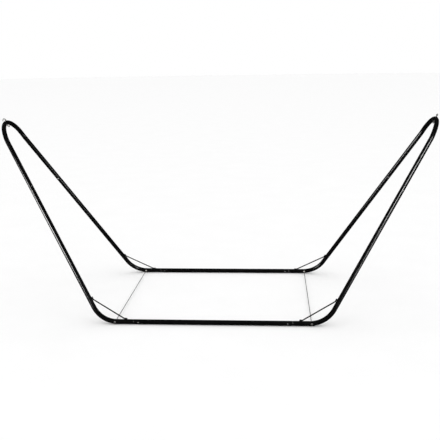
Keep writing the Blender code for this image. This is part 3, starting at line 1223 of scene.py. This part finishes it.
@dataclass
class FloorRail:
    """A straight floor rail, open at both ends."""

    plan: StandPlan
    finishes: Finishes
    row: Row

    def build(self) -> bpy.types.Object:
        """Build the rail with a button hole near each end.

        Returns:
            The piece.
        """
        plan = self.plan
        half = plan.rail_half
        start = Vector((-half, self.row.value * plan.track_half, plan.tube.radius))
        run = RoundRun(start, Vector((1.0, 0.0, 0.0)), plan.tube.radius, plan.tube.sides)
        length = 2.0 * half
        near = tuple(mark - plan.touch for mark in plan.button_marks)
        far = tuple(length - mark for mark in near)
        run.run_to(start + run.along * length, near + (half,) + far)
        name = f"rail_{self.row.word}_tube"
        made = piece(name, run.mesh(name))
        wall(made, plan.tube.wall)
        holes = []
        for side in Side:
            corner = plan.corner(self.row, side)
            centre = corner.on_rail(plan.knee_foot + plan.button_setback)
            holes.append(plan.button_drill(centre, corner.inward))
        drill(made, holes)
        lay_along(made, run.line)
        return dress(made, self.finishes.coat, "rails", [f"rail_{self.row.word}"])


@dataclass
class Leg:
    """A leg: reduced foot end, knee bend and straight arm in one tube."""

    plan: StandPlan
    finishes: Finishes
    corner: Corner
    rope_from_corner: float
    rope_hole: float
    bush_hole: float
    knee_steps: int = 26

    def build(self) -> bpy.types.Object:
        """Build the leg with its button holes and rope holes.

        Returns:
            The piece.
        """
        plan = self.plan
        corner = self.corner
        tube = plan.tube
        start = corner.on_rail(plan.knee_foot + plan.reduced_length)
        run = RoundRun(start, -corner.inward, tube.reduced, tube.sides)
        run.run_to(corner.on_rail(plan.knee_foot), plan.button_marks)
        run.cone(plan.cone_length, tube.mid_cone, tube.radius)
        half = corner.inward.angle(corner.up_arm) / 2.0
        run.run_to(corner.on_rail(plan.knee_radius / math.tan(half)))
        run.bend_to(corner.up_arm, plan.knee_radius, self.knee_steps)
        run.run_to(corner.on_arm(plan.arm_length), (*plan.button_marks, plan.arm_length / 2.0))
        name = f"leg_{corner.tag}_tube"
        made = piece(name, run.mesh(name))
        wall(made, tube.wall)
        drill(made, self._holes())
        lay_along(made, run.line)
        body = f"end_{corner.side.word}"
        return dress(made, self.finishes.coat, body, [f"leg_{corner.tag}"])

    def _holes(self) -> list[tuple[Matrix, float, float, float]]:
        """Place the leg's four holes.

        Returns:
            The holes, as drill takes them.
        """
        plan = self.plan
        corner = self.corner
        far = plan.tube.drill_far
        foot = corner.on_rail(plan.knee_foot + plan.button_setback)
        top = corner.on_arm(plan.arm_length - plan.button_setback)
        rope = corner.on_rail(self.rope_from_corner)
        out = ACROSS * corner.row.value
        return [
            plan.button_drill(foot, corner.inward),
            plan.button_drill(top, corner.up_arm),
            (placing(rope, out, corner.inward), self.rope_hole, 0.0, far),
            (placing(rope, -out, corner.inward), self.bush_hole, 0.0, far),
        ]


@dataclass
class HairpinBow:
    """The bow across the tops of an end's two arms."""

    plan: StandPlan
    finishes: Finishes
    side: Side
    hook_hole: float = 0.0044
    crown_steps: int = 72
    ease_steps: int = 6
    ease_passes: int = 4

    def build(self) -> bpy.types.Object:
        """Build the bow with a reduced end for each arm.

        Returns:
            The piece.
        """
        plan = self.plan
        tube = plan.tube
        crown = plan.crowns[self.side]
        front = plan.corner(Row.FRONT, self.side)
        rear = plan.corner(Row.REAR, self.side)
        shoulder = plan.arm_length + plan.touch
        tip = shoulder - plan.reduced_length
        run = RoundRun(front.on_arm(tip), front.up_arm, tube.reduced, tube.sides)
        run.run_to(front.on_arm(shoulder), plan.button_marks)
        run.cone(plan.cone_length, tube.mid_cone, tube.radius)
        run.run(HOLD)
        centre = crown.point - crown.up * plan.bow_radius
        half_turn = math.pi / 2.0 - plan.splay
        arc = []
        for index in range(self.crown_steps + 1):
            angle = half_turn * (2.0 * index / self.crown_steps - 1.0)
            spoke = crown.up * math.cos(angle) + ACROSS * math.sin(angle)
            arc.append(centre + spoke * plan.bow_radius)
        step = (arc[1] - arc[0]).length
        counts = range(1, self.ease_steps + 1)
        before = [arc[0] - front.up_arm * (step * count) for count in reversed(counts)]
        after = [arc[-1] - rear.up_arm * (step * count) for count in counts]
        run.follow(eased(before + arc + after, self.ease_steps, self.ease_passes))
        run.face(-rear.up_arm)
        run.run_to(rear.on_arm(shoulder + plan.cone_length))
        run.cone(plan.cone_length, tube.mid_cone, tube.reduced)
        run.run_to(rear.on_arm(tip), [plan.reduced_length - mark for mark in plan.button_marks])
        name = f"bow_{self.side.word}_tube"
        made = piece(name, run.mesh(name))
        wall(made, tube.wall)
        matrix = placing(crown.point, crown.up, crown.outward)
        holes = [(matrix, self.hook_hole, -tube.drill_far, tube.drill_far)]
        for corner in (front, rear):
            centre = corner.on_arm(plan.arm_length - plan.button_setback)
            holes.append(plan.button_drill(centre, corner.up_arm))
        drill(made, holes)
        lay_along(made, run.line)
        side = self.side.word
        return dress(made, self.finishes.coat, f"end_{side}", [f"bow_{side}"])


@dataclass
class SnapButton:
    """A sprung button: a domed pin riveted to a folded strip inside the tube."""

    plan: StandPlan
    finishes: Finishes
    tag: str
    centre: Vector
    along: Vector
    radius: float = 0.0035
    stand: float = 0.0030
    width: float = 0.0080
    gauge: float = 0.0008
    length: float = 0.032
    tail: float = 0.007
    drop: float = 0.0015
    far_end: float = 0.0060
    fold_radius: float = 0.0011
    fold_angle: float = math.pi * 0.80
    fold_steps: int = 6
    dome: float = 0.38
    dome_steps: int = 8
    waist: float = 0.55

    def build(self) -> bpy.types.Object:
        """Build the pin and the strip as one piece.

        Returns:
            The piece.
        """
        facing = front_facing(self.along)
        matrix = placing(self.centre, facing, self.along)
        shape = bmesh.new()
        strip = self._strip()
        pin = self._pin()
        for part in (strip, pin):
            shape.from_mesh(part)
            bpy.data.meshes.remove(part)
        bmesh.ops.transform(shape, matrix=matrix, verts=shape.verts)
        name = f"snap_{self.tag}_button"
        made = piece(name, to_mesh(shape, name))
        lay_along(made, [self.centre, self.centre + facing * 0.02])
        return dress(made, self.finishes.spring, f"snap_{self.tag}", [f"snap_{self.tag}"])

    def _strip(self) -> bpy.types.Mesh:
        """Fold the strip: a near leaf, a round fold and a far leaf that springs off the bore.

        Returns:
            The strip's mesh, with the button's axis along Z.
        """
        top = self.plan.tube.reduced_bore - self.drop - self.gauge / 2.0
        fold = self.length - self.tail
        shape = bmesh.new()
        last = [shape.verts.new((-self.tail, -self.width / 2.0, top))]
        reached = Vector((-self.tail, 0.0, top))
        path = [Vector((fold - self.fold_radius, 0.0, top)) - reached]
        stride = self.fold_radius * self.fold_angle / self.fold_steps
        for index in range(self.fold_steps):
            angle = self.fold_angle * (index + 0.5) / self.fold_steps
            path.append(Vector((math.cos(angle), 0.0, -math.sin(angle))) * stride)
        for step in path:
            reached += step
        path.append(Vector((-self.tail, 0.0, -self.far_end)) - reached)
        for step in path:
            grown = bmesh.ops.extrude_vert_indiv(shape, verts=last)
            last = grown["verts"]
            bmesh.ops.translate(shape, vec=step, verts=last)
        lifted = bmesh.ops.extrude_edge_only(shape, edges=list(shape.edges))["geom"]
        verts = [item for item in lifted if isinstance(item, bmesh.types.BMVert)]
        bmesh.ops.translate(shape, vec=(0.0, self.width, 0.0), verts=verts)
        bmesh.ops.recalc_face_normals(shape, faces=shape.faces)
        bmesh.ops.solidify(shape, geom=list(shape.faces), thickness=self.gauge)
        bmesh.ops.recalc_face_normals(shape, faces=shape.faces)
        soften_sharp(shape, self.gauge * 0.2, 60.0, 1)
        return to_mesh(shape, "strip")

    def _pin(self) -> bpy.types.Mesh:
        """Turn the pin, with a domed crown and a shallow waist at the strip.

        Returns:
            The pin's mesh, with its axis along Z.
        """
        top = self.plan.tube.radius + self.stand
        low = self.plan.tube.reduced_bore - self.drop - self.gauge * 1.4
        dome = self.radius * self.dome
        waist = self.radius * self.waist
        profile = []
        for index in range(self.dome_steps + 1):
            angle = math.pi / 2.0 * index / self.dome_steps
            profile.append((self.radius * math.sin(angle), top - dome + dome * math.cos(angle)))
        profile += [(self.radius, low + self.gauge * 1.6), (waist, low + self.gauge * 1.5),
                    (waist, low), (0.0, low)]
        return turned("pin", profile, 32, Matrix.Identity(4), closed=False)


@dataclass
class KneeBrace:
    """The rod across a knee, with a weld bead along each bent end."""

    plan: StandPlan
    finishes: Finishes
    corner: Corner
    from_corner: float = 0.145
    foot: float = 0.020
    radius: float = 0.0040
    bend: float = 0.010
    bend_steps: int = 6
    rounding: float = 0.0006
    sides: int = 20
    bead: float = 0.0024
    bead_setback: float = 0.004
    bead_sides: int = 12
    ripples: int = 6

    def build(self) -> list[bpy.types.Object]:
        """Build the rod and its four beads.

        Returns:
            The pieces.
        """
        corner = self.corner
        low, high = self._elbow(Level.LOW), self._elbow(Level.HIGH)
        chord = (high - low).normalized()
        run = RoundRun(low + corner.inward * self.foot, -corner.inward, self.radius, self.sides)
        run.run_to(low + corner.inward * self._tangent(chord, -corner.inward))
        run.bend_to(chord, self.bend, self.bend_steps)
        run.run_to(high - chord * self._tangent(chord, corner.up_arm), ((high - low).length / 2.0,))
        run.bend_to(corner.up_arm, self.bend, self.bend_steps)
        run.run_to(high + corner.up_arm * self.foot)
        run.cap(self.rounding)
        name = f"brace_{corner.tag}_rod"
        made = piece(name, run.mesh(name))
        lay_along(made, run.line)
        body = f"end_{corner.side.word}"
        dress(made, self.finishes.coat, body, [f"knee_brace_{corner.tag}"])
        return [made] + [self._weld(level, hand) for level in Level for hand in (-1, 1)]

    def _limb(self, level: Level) -> tuple[Vector, Vector]:
        """Find the direction of the limb at one level and the way off it, into the knee.

        Args:
            level: Which limb.

        Returns:
            The two directions.
        """
        along, other = self.corner.inward, self.corner.up_arm
        if level is Level.HIGH:
            along, other = other, along
        return along, square_off(along, other)

    def _elbow(self, level: Level) -> Vector:
        """Find where the rod's straight and its foot would meet.

        Args:
            level: Which foot.

        Returns:
            The point.
        """
        along, off = self._limb(level)
        rise = self.plan.tube.radius + self.plan.touch + self.radius
        return self.corner.point + along * self.from_corner + off * rise

    def _tangent(self, first: Vector, second: Vector) -> float:
        """Length that a bend takes from each of the two straights."""
        return self.bend * math.tan(first.angle(second) / 2.0)

    def _weld(self, level: Level, hand: int) -> bpy.types.Object:
        """Lay one rippled bead in the groove between the rod's foot and the tube.

        Args:
            level: Which foot.
            hand: Which side of it.

        Returns:
            The piece.
        """
        along, off = self._limb(level)
        sideways = along.cross(off) * hand
        groove = self.plan.tube.radius + self.radius * 0.42
        start = (self.corner.point + along * (self.from_corner + self.bead_setback) + off * groove
                 + sideways * (self.radius * 0.80))
        length = (self.foot - self.bead_setback - 0.001) / self.ripples
        tip, valley = self.bead * 0.35, self.bead * 0.76
        run = RoundRun(start, along, tip, self.bead_sides)
        for index in range(self.ripples):
            swell = 1.0 - 0.10 * ((index * 7 + hand) % 3)
            run.run(length * 0.30, self.bead * 0.95 * swell)
            run.run(length * 0.35, self.bead * swell)
            run.run(length * 0.35, tip if index == self.ripples - 1 else valley)
        run.cap(0.0002)
        name = f"brace_{self.corner.tag}_weld_{level.value}_{'a' if hand < 0 else 'b'}"
        made = piece(name, run.mesh(name))
        lay_along(made, run.line)
        body = f"end_{self.corner.side.word}"
        return dress(made, self.finishes.weld, body, degrees=70.0)


@dataclass
class FloorRope:
    """The coated wire rope between an end's two knees, with its fittings."""

    plan: StandPlan
    finishes: Finishes
    side: Side
    from_corner: float = 0.090
    radius: float = 0.0020
    fit: float = 0.0004
    strands: int = 6
    strand_sides: int = 5
    strand_relief: float = 0.11
    lay_length: float = 0.028
    lay_steps: int = 14
    end: float = 0.001
    stop_radius: float = 0.0044
    stop_length: float = 0.010
    washer_radius: float = 0.0075
    washer_gauge: float = 0.0012
    bush_radius: float = 0.0036
    bush_flange: float = 0.0060
    bush_flange_gauge: float = 0.0014
    bush_lift: float = 0.0004
    bush_reach: float = 0.0020

    @property
    def body(self) -> str:
        """The body that carries the rope."""
        return f"end_{self.side.word}"

    def build(self) -> list[bpy.types.Object]:
        """Build the rope and the fittings at both ends.

        Returns:
            The pieces.
        """
        made = [self._rope()]
        for row in Row:
            out = ACROSS * row.value
            matrix = placing(self._middle(), out, Vector((1.0, 0.0, 0.0)))
            made += [self._washer(row, matrix), self._stop(row, matrix), self._bush(row, matrix)]
        return made

    def _middle(self) -> Vector:
        """Find the middle of the rope.

        Returns:
            The point.
        """
        corner = self.plan.corner(Row.FRONT, self.side)
        on_rail = corner.on_rail(self.from_corner)
        return Vector((on_rail.x, 0.0, on_rail.z))

    def _tag(self, row: Row) -> str:
        """The words of one end of the rope in a node's name."""
        return f"{row.word}_{self.side.word}"

    def _seat(self) -> float:
        """Distance from the middle to the inner face of the outer washer."""
        return self.plan.track_half + self.plan.tube.radius + self.plan.touch

    def _stop_at(self) -> float:
        """Distance from the middle to the inner end of the crimped stop."""
        return self._seat() + self.washer_gauge + self.plan.touch

    def _rope(self) -> bpy.types.Object:
        """Wind a lobed section along the rope, so that the coat shows the strands' lay.

        Returns:
            The piece.
        """
        reach = self._stop_at() + self.stop_length + self.end
        start = self._middle() - ACROSS * reach
        shape = bmesh.new()
        matrix = placing(start, ACROSS, UP)
        made = bmesh.ops.create_circle(
            shape, cap_ends=False, segments=self.strands * self.strand_sides, radius=self.radius,
            matrix=matrix,
        )
        for vert in made["verts"]:
            arm = vert.co - start
            angle = math.atan2(arm.x, arm.z)
            dip = 1.0 - abs(math.cos(angle * self.strands / 2.0))
            bmesh.ops.translate(shape, vec=arm * (-self.strand_relief * dip * dip), verts=[vert])
        turns = 2.0 * reach / self.lay_length
        steps = int(turns * self.lay_steps)
        rim = list(shape.edges)
        ends = list(made["verts"])
        spun = bmesh.ops.spin(
            shape, geom=ends + rim, cent=start, axis=ACROSS, dvec=ACROSS * (2.0 * reach / steps),
            angle=math.tau * turns, steps=steps, use_merge=False,
        )
        last = [item for item in spun["geom_last"] if isinstance(item, bmesh.types.BMVert)]
        for verts in (ends, last):
            bmesh.ops.contextual_create(shape, geom=ring_edges(verts))
        name = f"rope_{self.side.word}_coated"
        rope = piece(name, to_mesh(shape, name))
        lay_along(rope, [start, start + ACROSS * 2.0 * reach])
        nodes = [f"cross_cable_{self.side.word}"]
        return dress(rope, self.finishes.vinyl, self.body, nodes, 60.0)

    def _washer(self, row: Row, matrix: Matrix) -> bpy.types.Object:
        """Turn the washer outside the tube.

        Args:
            row: Front or rear end of the rope.
            matrix: Where the fitting goes, with +Z out along the rope.

        Returns:
            The piece.
        """
        low, high = self._seat(), self._seat() + self.washer_gauge
        bore = self.radius + self.fit
        profile = [(bore, low), (self.washer_radius, low), (self.washer_radius, high), (bore, high)]
        name = f"rope_washer_{self._tag(row)}"
        made = piece(name, turned(name, profile, 40, matrix, 0.0003))
        nodes = [f"cable_washer_{self._tag(row)}"]
        return dress(made, self.finishes.bolt, self.body, nodes)

    def _stop(self, row: Row, matrix: Matrix) -> bpy.types.Object:
        """Turn the stop, with two crimped waists.

        Args:
            row: Front or rear end of the rope.
            matrix: Where the fitting goes, with +Z out along the rope.

        Returns:
            The piece.
        """
        low, high = self._stop_at(), self._stop_at() + self.stop_length
        bore = self.radius + self.fit * 0.25
        waist = self.stop_radius * 0.84
        profile = [(bore, low), (self.stop_radius, low)]
        for share in (0.30, 0.70):
            middle = low + self.stop_length * share
            profile += [(self.stop_radius, middle - 0.0014), (waist, middle - 0.0007),
                        (waist, middle + 0.0007), (self.stop_radius, middle + 0.0014)]
        profile += [(self.stop_radius, high), (bore, high)]
        name = f"rope_stop_{self._tag(row)}"
        made = piece(name, turned(name, profile, 32, matrix, 0.0002))
        return dress(made, self.finishes.bolt, self.body, [f"cable_stop_{self._tag(row)}"])

    def _bush(self, row: Row, matrix: Matrix) -> bpy.types.Object:
        """Turn the flanged bush in the tube's inner wall.

        Args:
            row: Front or rear end of the rope.
            matrix: Where the fitting goes, with +Z out along the rope.

        Returns:
            The piece.
        """
        plan = self.plan
        bore = self.radius + self.fit
        seat = plan.track_half - plan.tube.radius - plan.touch - self.bush_lift
        top = seat + self.bush_lift + plan.touch + plan.tube.wall + self.bush_reach
        rim = self.bush_flange
        low = seat - self.bush_flange_gauge
        profile = [
            (bore, low), (rim - 0.0006, low), (rim, seat - self.bush_flange_gauge * 0.45), (rim, seat),
            (self.bush_radius, seat), (self.bush_radius, top), (bore, top),
        ]
        name = f"rope_bush_{self._tag(row)}"
        made = piece(name, turned(name, profile, 36, matrix, 0.0002))
        return dress(made, self.finishes.nylon, self.body, [f"cable_bush_{self._tag(row)}"])


@dataclass
class HookBolt:
    """The hook bolt through a bow's crown, with its washer and nut inside the bend."""

    plan: StandPlan
    finishes: Finishes
    side: Side
    turn: float
    radius: float = 0.00395
    collar_radius: float = 0.0065
    collar: float = 0.0025
    neck: float = 0.0060
    curl: float = 0.0098
    tail: float = 0.0070
    pitch: float = 0.00125
    thread_root: float = 0.86
    curl_steps: int = 22
    sides: int = 28
    washer_radius: float = 0.0110
    washer_gauge: float = 0.0020
    nut_flats: float = 0.013
    nut_height: float = 0.0080
    facet_turn: float = math.radians(72.2 / 14.0)

    @property
    def matrix(self) -> Matrix:
        """Place the bolt: +Z out of the bow and +X the way the curl opens."""
        crown = self.plan.crowns[self.side]
        return placing(crown.point, crown.up, crown.outward) @ Matrix.Rotation(self.turn, 4, "Z")

    @property
    def skin(self) -> float:
        """Height of the collar's seat over the tube's axis."""
        return self.plan.tube.radius + self.plan.touch

    @property
    def washer_low(self) -> float:
        """Height of the washer's lower face."""
        return -self.skin - self.washer_radius * math.tan(self.facet_turn) - self.washer_gauge

    @property
    def nut_low(self) -> float:
        """Height of the nut's lower face."""
        return self.washer_low - self.plan.touch - self.nut_height

    def build(self) -> list[bpy.types.Object]:
        """Build the bolt, the washer and the nut.

        Returns:
            The pieces.
        """
        return [self._bolt(), self._washer(), self._nut()]

    def _bolt(self) -> bpy.types.Object:
        """Grow the threaded shank, the collar and the curl in one piece.

        Returns:
            The piece.
        """
        matrix = self.matrix
        direction = matrix.to_3x3() @ UP
        low = self.nut_low - self.tail
        start = matrix @ Vector((0.0, 0.0, low))
        root = self.radius * self.thread_root
        run = RoundRun(start, direction, root * 0.80, self.sides)
        run.run(0.0008, root)
        threads = int((-self.plan.tube.radius * 0.2 - low - 0.0008) / self.pitch)
        for _ in range(threads):
            run.run(self.pitch * 0.44, self.radius)
            run.run(self.pitch * 0.12)
            run.run(self.pitch * 0.44, root)
        run.run(0.0006, self.radius)
        climbed = (run.at - matrix @ Vector((0.0, 0.0, self.skin))).dot(direction)
        run.run(-climbed)
        run.run(0.0001, self.collar_radius - 0.0004)
        run.run(0.0004, self.collar_radius)
        run.run(self.collar - 0.0010, self.collar_radius)
        run.run(0.0005, self.collar_radius - 0.0006)
        run.run(0.0001, self.radius + 0.0003)
        run.run(0.0006, self.radius)
        neck_top = self.plan.tube.radius + self.neck
        run.run_to(matrix @ Vector((0.0, 0.0, neck_top)))
        centre = matrix @ Vector((self.curl, 0.0, neck_top))
        run.bend(centre, matrix.to_3x3() @ ACROSS, math.pi, self.curl_steps)
        run.cap(0.0010)
        name = f"hook_{self.side.word}_bolt"
        made = piece(name, run.mesh(name))
        lay_along(made, run.line)
        return dress(made, self.finishes.bolt, f"hook_{self.side.word}",
                     [f"hook_bolt_{self.side.word}"], 28.0)

    def _washer(self) -> bpy.types.Object:
        """Turn the washer inside the bend.

        Returns:
            The piece.
        """
        low, high = self.washer_low, self.washer_low + self.washer_gauge
        bore = self.radius + 0.0004
        profile = [(bore, low), (self.washer_radius, low), (self.washer_radius, high), (bore, high)]
        name = f"hook_{self.side.word}_washer"
        made = piece(name, turned(name, profile, 48, self.matrix, 0.0003))
        return dress(made, self.finishes.bolt, f"end_{self.side.word}",
                     [f"hook_washer_{self.side.word}"])

    def _nut(self) -> bpy.types.Object:
        """Cut a hexagon to a chamfered turned blank and bore it.

        Returns:
            The piece.
        """
        low, high = self.nut_low, self.nut_low + self.nut_height
        corner_radius = self.nut_flats / math.sqrt(3.0)
        chamfer = corner_radius - self.nut_flats / 2.0 + 0.0002
        shape = bmesh.new()
        bmesh.ops.create_cone(
            shape, cap_ends=True, segments=6, radius1=corner_radius, radius2=corner_radius,
            depth=self.nut_height, matrix=Matrix.Translation((0.0, 0.0, (low + high) / 2.0)),
        )
        name = f"hook_{self.side.word}_nut"
        made = piece(name, to_mesh(shape, name))
        bore = self.radius + 0.0003
        outer = corner_radius + 0.0001
        lead_in = 0.0004
        profile = [
            (bore + lead_in, low), (corner_radius - chamfer, low), (outer, low + chamfer * 0.55),
            (outer, high - chamfer * 0.55), (corner_radius - chamfer, high),
            (bore + lead_in, high), (bore, high - lead_in), (bore, low + lead_in),
        ]
        blank = piece("nut_blank", turned("nut_blank", profile, 48, Matrix.Identity(4)))
        step = made.modifiers.new("blank", "BOOLEAN")
        step.object = blank
        step.operation = "INTERSECT"
        step.solver = "EXACT"
        settle(made)
        bpy.data.objects.remove(blank, do_unlink=True)
        made.data.transform(self.matrix)
        crown = self.plan.crowns[self.side]
        lay_along(made, [crown.point - crown.up * 0.03, crown.point])
        return dress(made, self.finishes.bolt, f"hook_{self.side.word}",
                     [f"hook_nut_{self.side.word}"], 24.0)


@dataclass
class EndFrame:
    """One end of the stand: legs, bow, braces, rope, buttons and hook bolt."""

    plan: StandPlan
    finishes: Finishes
    side: Side
    hook_turn: float

    def build(self) -> None:
        """Build every piece of the end."""
        rope = FloorRope(self.plan, self.finishes, self.side)
        for row in Row:
            corner = self.plan.corner(row, self.side)
            Leg(self.plan, self.finishes, corner, rope.from_corner, rope.radius + rope.fit,
                rope.bush_radius + self.plan.touch).build()
            KneeBrace(self.plan, self.finishes, corner).build()
            foot = corner.on_rail(self.plan.knee_foot + self.plan.button_setback)
            SnapButton(self.plan, self.finishes, f"rail_{corner.tag}", foot, -corner.inward).build()
            top = corner.on_arm(self.plan.arm_length - self.plan.button_setback)
            SnapButton(self.plan, self.finishes, f"bow_{corner.tag}", top, corner.up_arm).build()
        HairpinBow(self.plan, self.finishes, self.side).build()
        rope.build()
        HookBolt(self.plan, self.finishes, self.side, self.hook_turn).build()


# ---------------------------------------------------------------- studio


@dataclass(frozen=True)
class Softbox:
    """A soft rectangular light."""

    name: str
    place: tuple[float, float, float]
    aim: tuple[float, float, float]
    width: float
    height: float
    power: float

    def build(self) -> None:
        """Hang the light."""
        lamp = bpy.data.lights.new(self.name, "AREA")
        lamp.shape = "RECTANGLE"
        lamp.size = self.width
        lamp.size_y = self.height
        lamp.energy = self.power
        hung = bpy.data.objects.new(self.name, lamp)
        bpy.context.scene.collection.objects.link(hung)
        away = Vector(self.place) - Vector(self.aim)
        hung.matrix_world = placing(Vector(self.place), away, ACROSS.cross(away))
        hung.visible_diffuse = False
        hung.visible_camera = False


@dataclass(frozen=True)
class StudioCamera:
    """The camera, by its place and how it is turned."""

    place: tuple[float, float, float] = (0.3752, -4.8650, 1.5991)
    turn: float = math.radians(4.26)
    dip: float = math.radians(12.25)
    tilt: float = math.radians(-0.86)
    lens: float = 59.98
    sensor: float = 36.0

    def build(self) -> None:
        """Set the camera up and make it the scene's own."""
        seen = Vector((
            -math.sin(self.turn) * math.cos(self.dip),
            math.cos(self.turn) * math.cos(self.dip),
            -math.sin(self.dip),
        ))
        level = Vector((math.cos(self.turn), math.sin(self.turn), 0.0))
        right = Matrix.Rotation(self.tilt, 3, -seen) @ level
        lens = bpy.data.cameras.new("studio_camera")
        lens.lens = self.lens
        lens.sensor_width = self.sensor
        camera = bpy.data.objects.new("studio_camera", lens)
        bpy.context.scene.collection.objects.link(camera)
        camera.matrix_world = placing(Vector(self.place), -seen, right)
        bpy.context.scene.camera = camera


@dataclass(frozen=True)
class PaleFloor:
    """A plain pale floor that the tubes don't mirror."""

    radius: float = 80.0
    colour: tuple[float, float, float] = (0.93, 0.93, 0.93)

    def build(self) -> None:
        """Lay the floor and dress it."""
        shape = bmesh.new()
        bmesh.ops.create_circle(
            shape, cap_ends=True, segments=64, radius=self.radius,
            matrix=Matrix.Translation((0.0, 0.0, -0.0006)),
        )
        floor = piece("pale_floor", to_mesh(shape, "pale_floor"))
        material = bpy.data.materials.new("pale_floor")
        material.use_nodes = True
        tree = NodeTree(material.node_tree)
        shader = material.node_tree.nodes["Principled BSDF"]
        place = tree.add("ShaderNodeTexCoord").outputs["Object"]
        mottle = tree.ramp(tree.noise(place, 3.0, 4.0), 0.3, 0.7)
        shade = tuple(value * 0.985 for value in self.colour)
        tree.link(tree.blend(mottle, self.colour, shade), shader.inputs["Base Color"])
        shader.inputs["Roughness"].default_value = 0.9
        shader.inputs["Specular IOR Level"].default_value = 0.1
        floor.data.materials.append(material)
        floor.visible_glossy = False


@dataclass(frozen=True)
class Surroundings:
    """What is past the floor: pale to look at, dim in reflections."""

    seen: tuple[float, float, float] = (1.0, 1.0, 1.0)
    seen_strength: float = 1.0
    mirrored_strength: float = 0.012
    ambient_strength: float = 1.10

    def build(self) -> None:
        """Build the world."""
        world = bpy.data.worlds.new("studio")
        world.use_nodes = True
        tree = NodeTree(world.node_tree)
        ground = world.node_tree.nodes["Background"]
        ground.inputs["Color"].default_value = (*self.seen, 1.0)
        path = tree.add("ShaderNodeLightPath")
        seen = tree.sum("MULTIPLY", path.outputs["Is Camera Ray"], self.seen_strength)
        mirrored = tree.sum("MULTIPLY", path.outputs["Is Glossy Ray"], self.mirrored_strength)
        soft = tree.sum("MULTIPLY", path.outputs["Is Diffuse Ray"], self.ambient_strength)
        strength = tree.sum("ADD", tree.sum("ADD", seen, mirrored), soft)
        tree.link(strength, ground.inputs["Strength"])
        bpy.context.scene.world = world


SOFTBOXES = (
    Softbox("left_high_light", (-3.65, -3.15, 1.10), (0.0, 0.0, 1.10), 0.9, 1.8, 112.0),
    Softbox("left_low_light", (-4.55, -2.15, 0.66), (0.0, 0.0, 0.66), 1.1, 0.56, 34.0),
    Softbox("right_high_light", (2.55, -3.75, 2.70), (0.4, 0.0, 1.0), 0.8, 1.4, 110.0),
    Softbox("right_low_light", (3.30, -2.75, 0.45), (0.0, 0.0, 0.60), 0.8, 0.60, 17.0),
)


def light_studio() -> None:
    """Build the floor, the surroundings, the lights and the camera."""
    PaleFloor().build()
    Surroundings().build()
    for softbox in SOFTBOXES:
        softbox.build()
    bpy.context.scene.view_settings.view_transform = "Standard"
    StudioCamera().build()


def main() -> None:
    """Build the stand, sub-assembly by sub-assembly, then the studio."""
    logging.basicConfig(level=logging.INFO, format="%(name)s %(message)s")
    plan = StandPlan.from_frame(frame["joints"])
    finishes = Finishes.make()
    for row in Row:
        FloorRail(plan, finishes, row).build()
    EndFrame(plan, finishes, Side.LEFT, 0.0).build()
    EndFrame(plan, finishes, Side.RIGHT, math.radians(90.0)).build()
    light_studio()


if __name__ == "__main__":
    main()
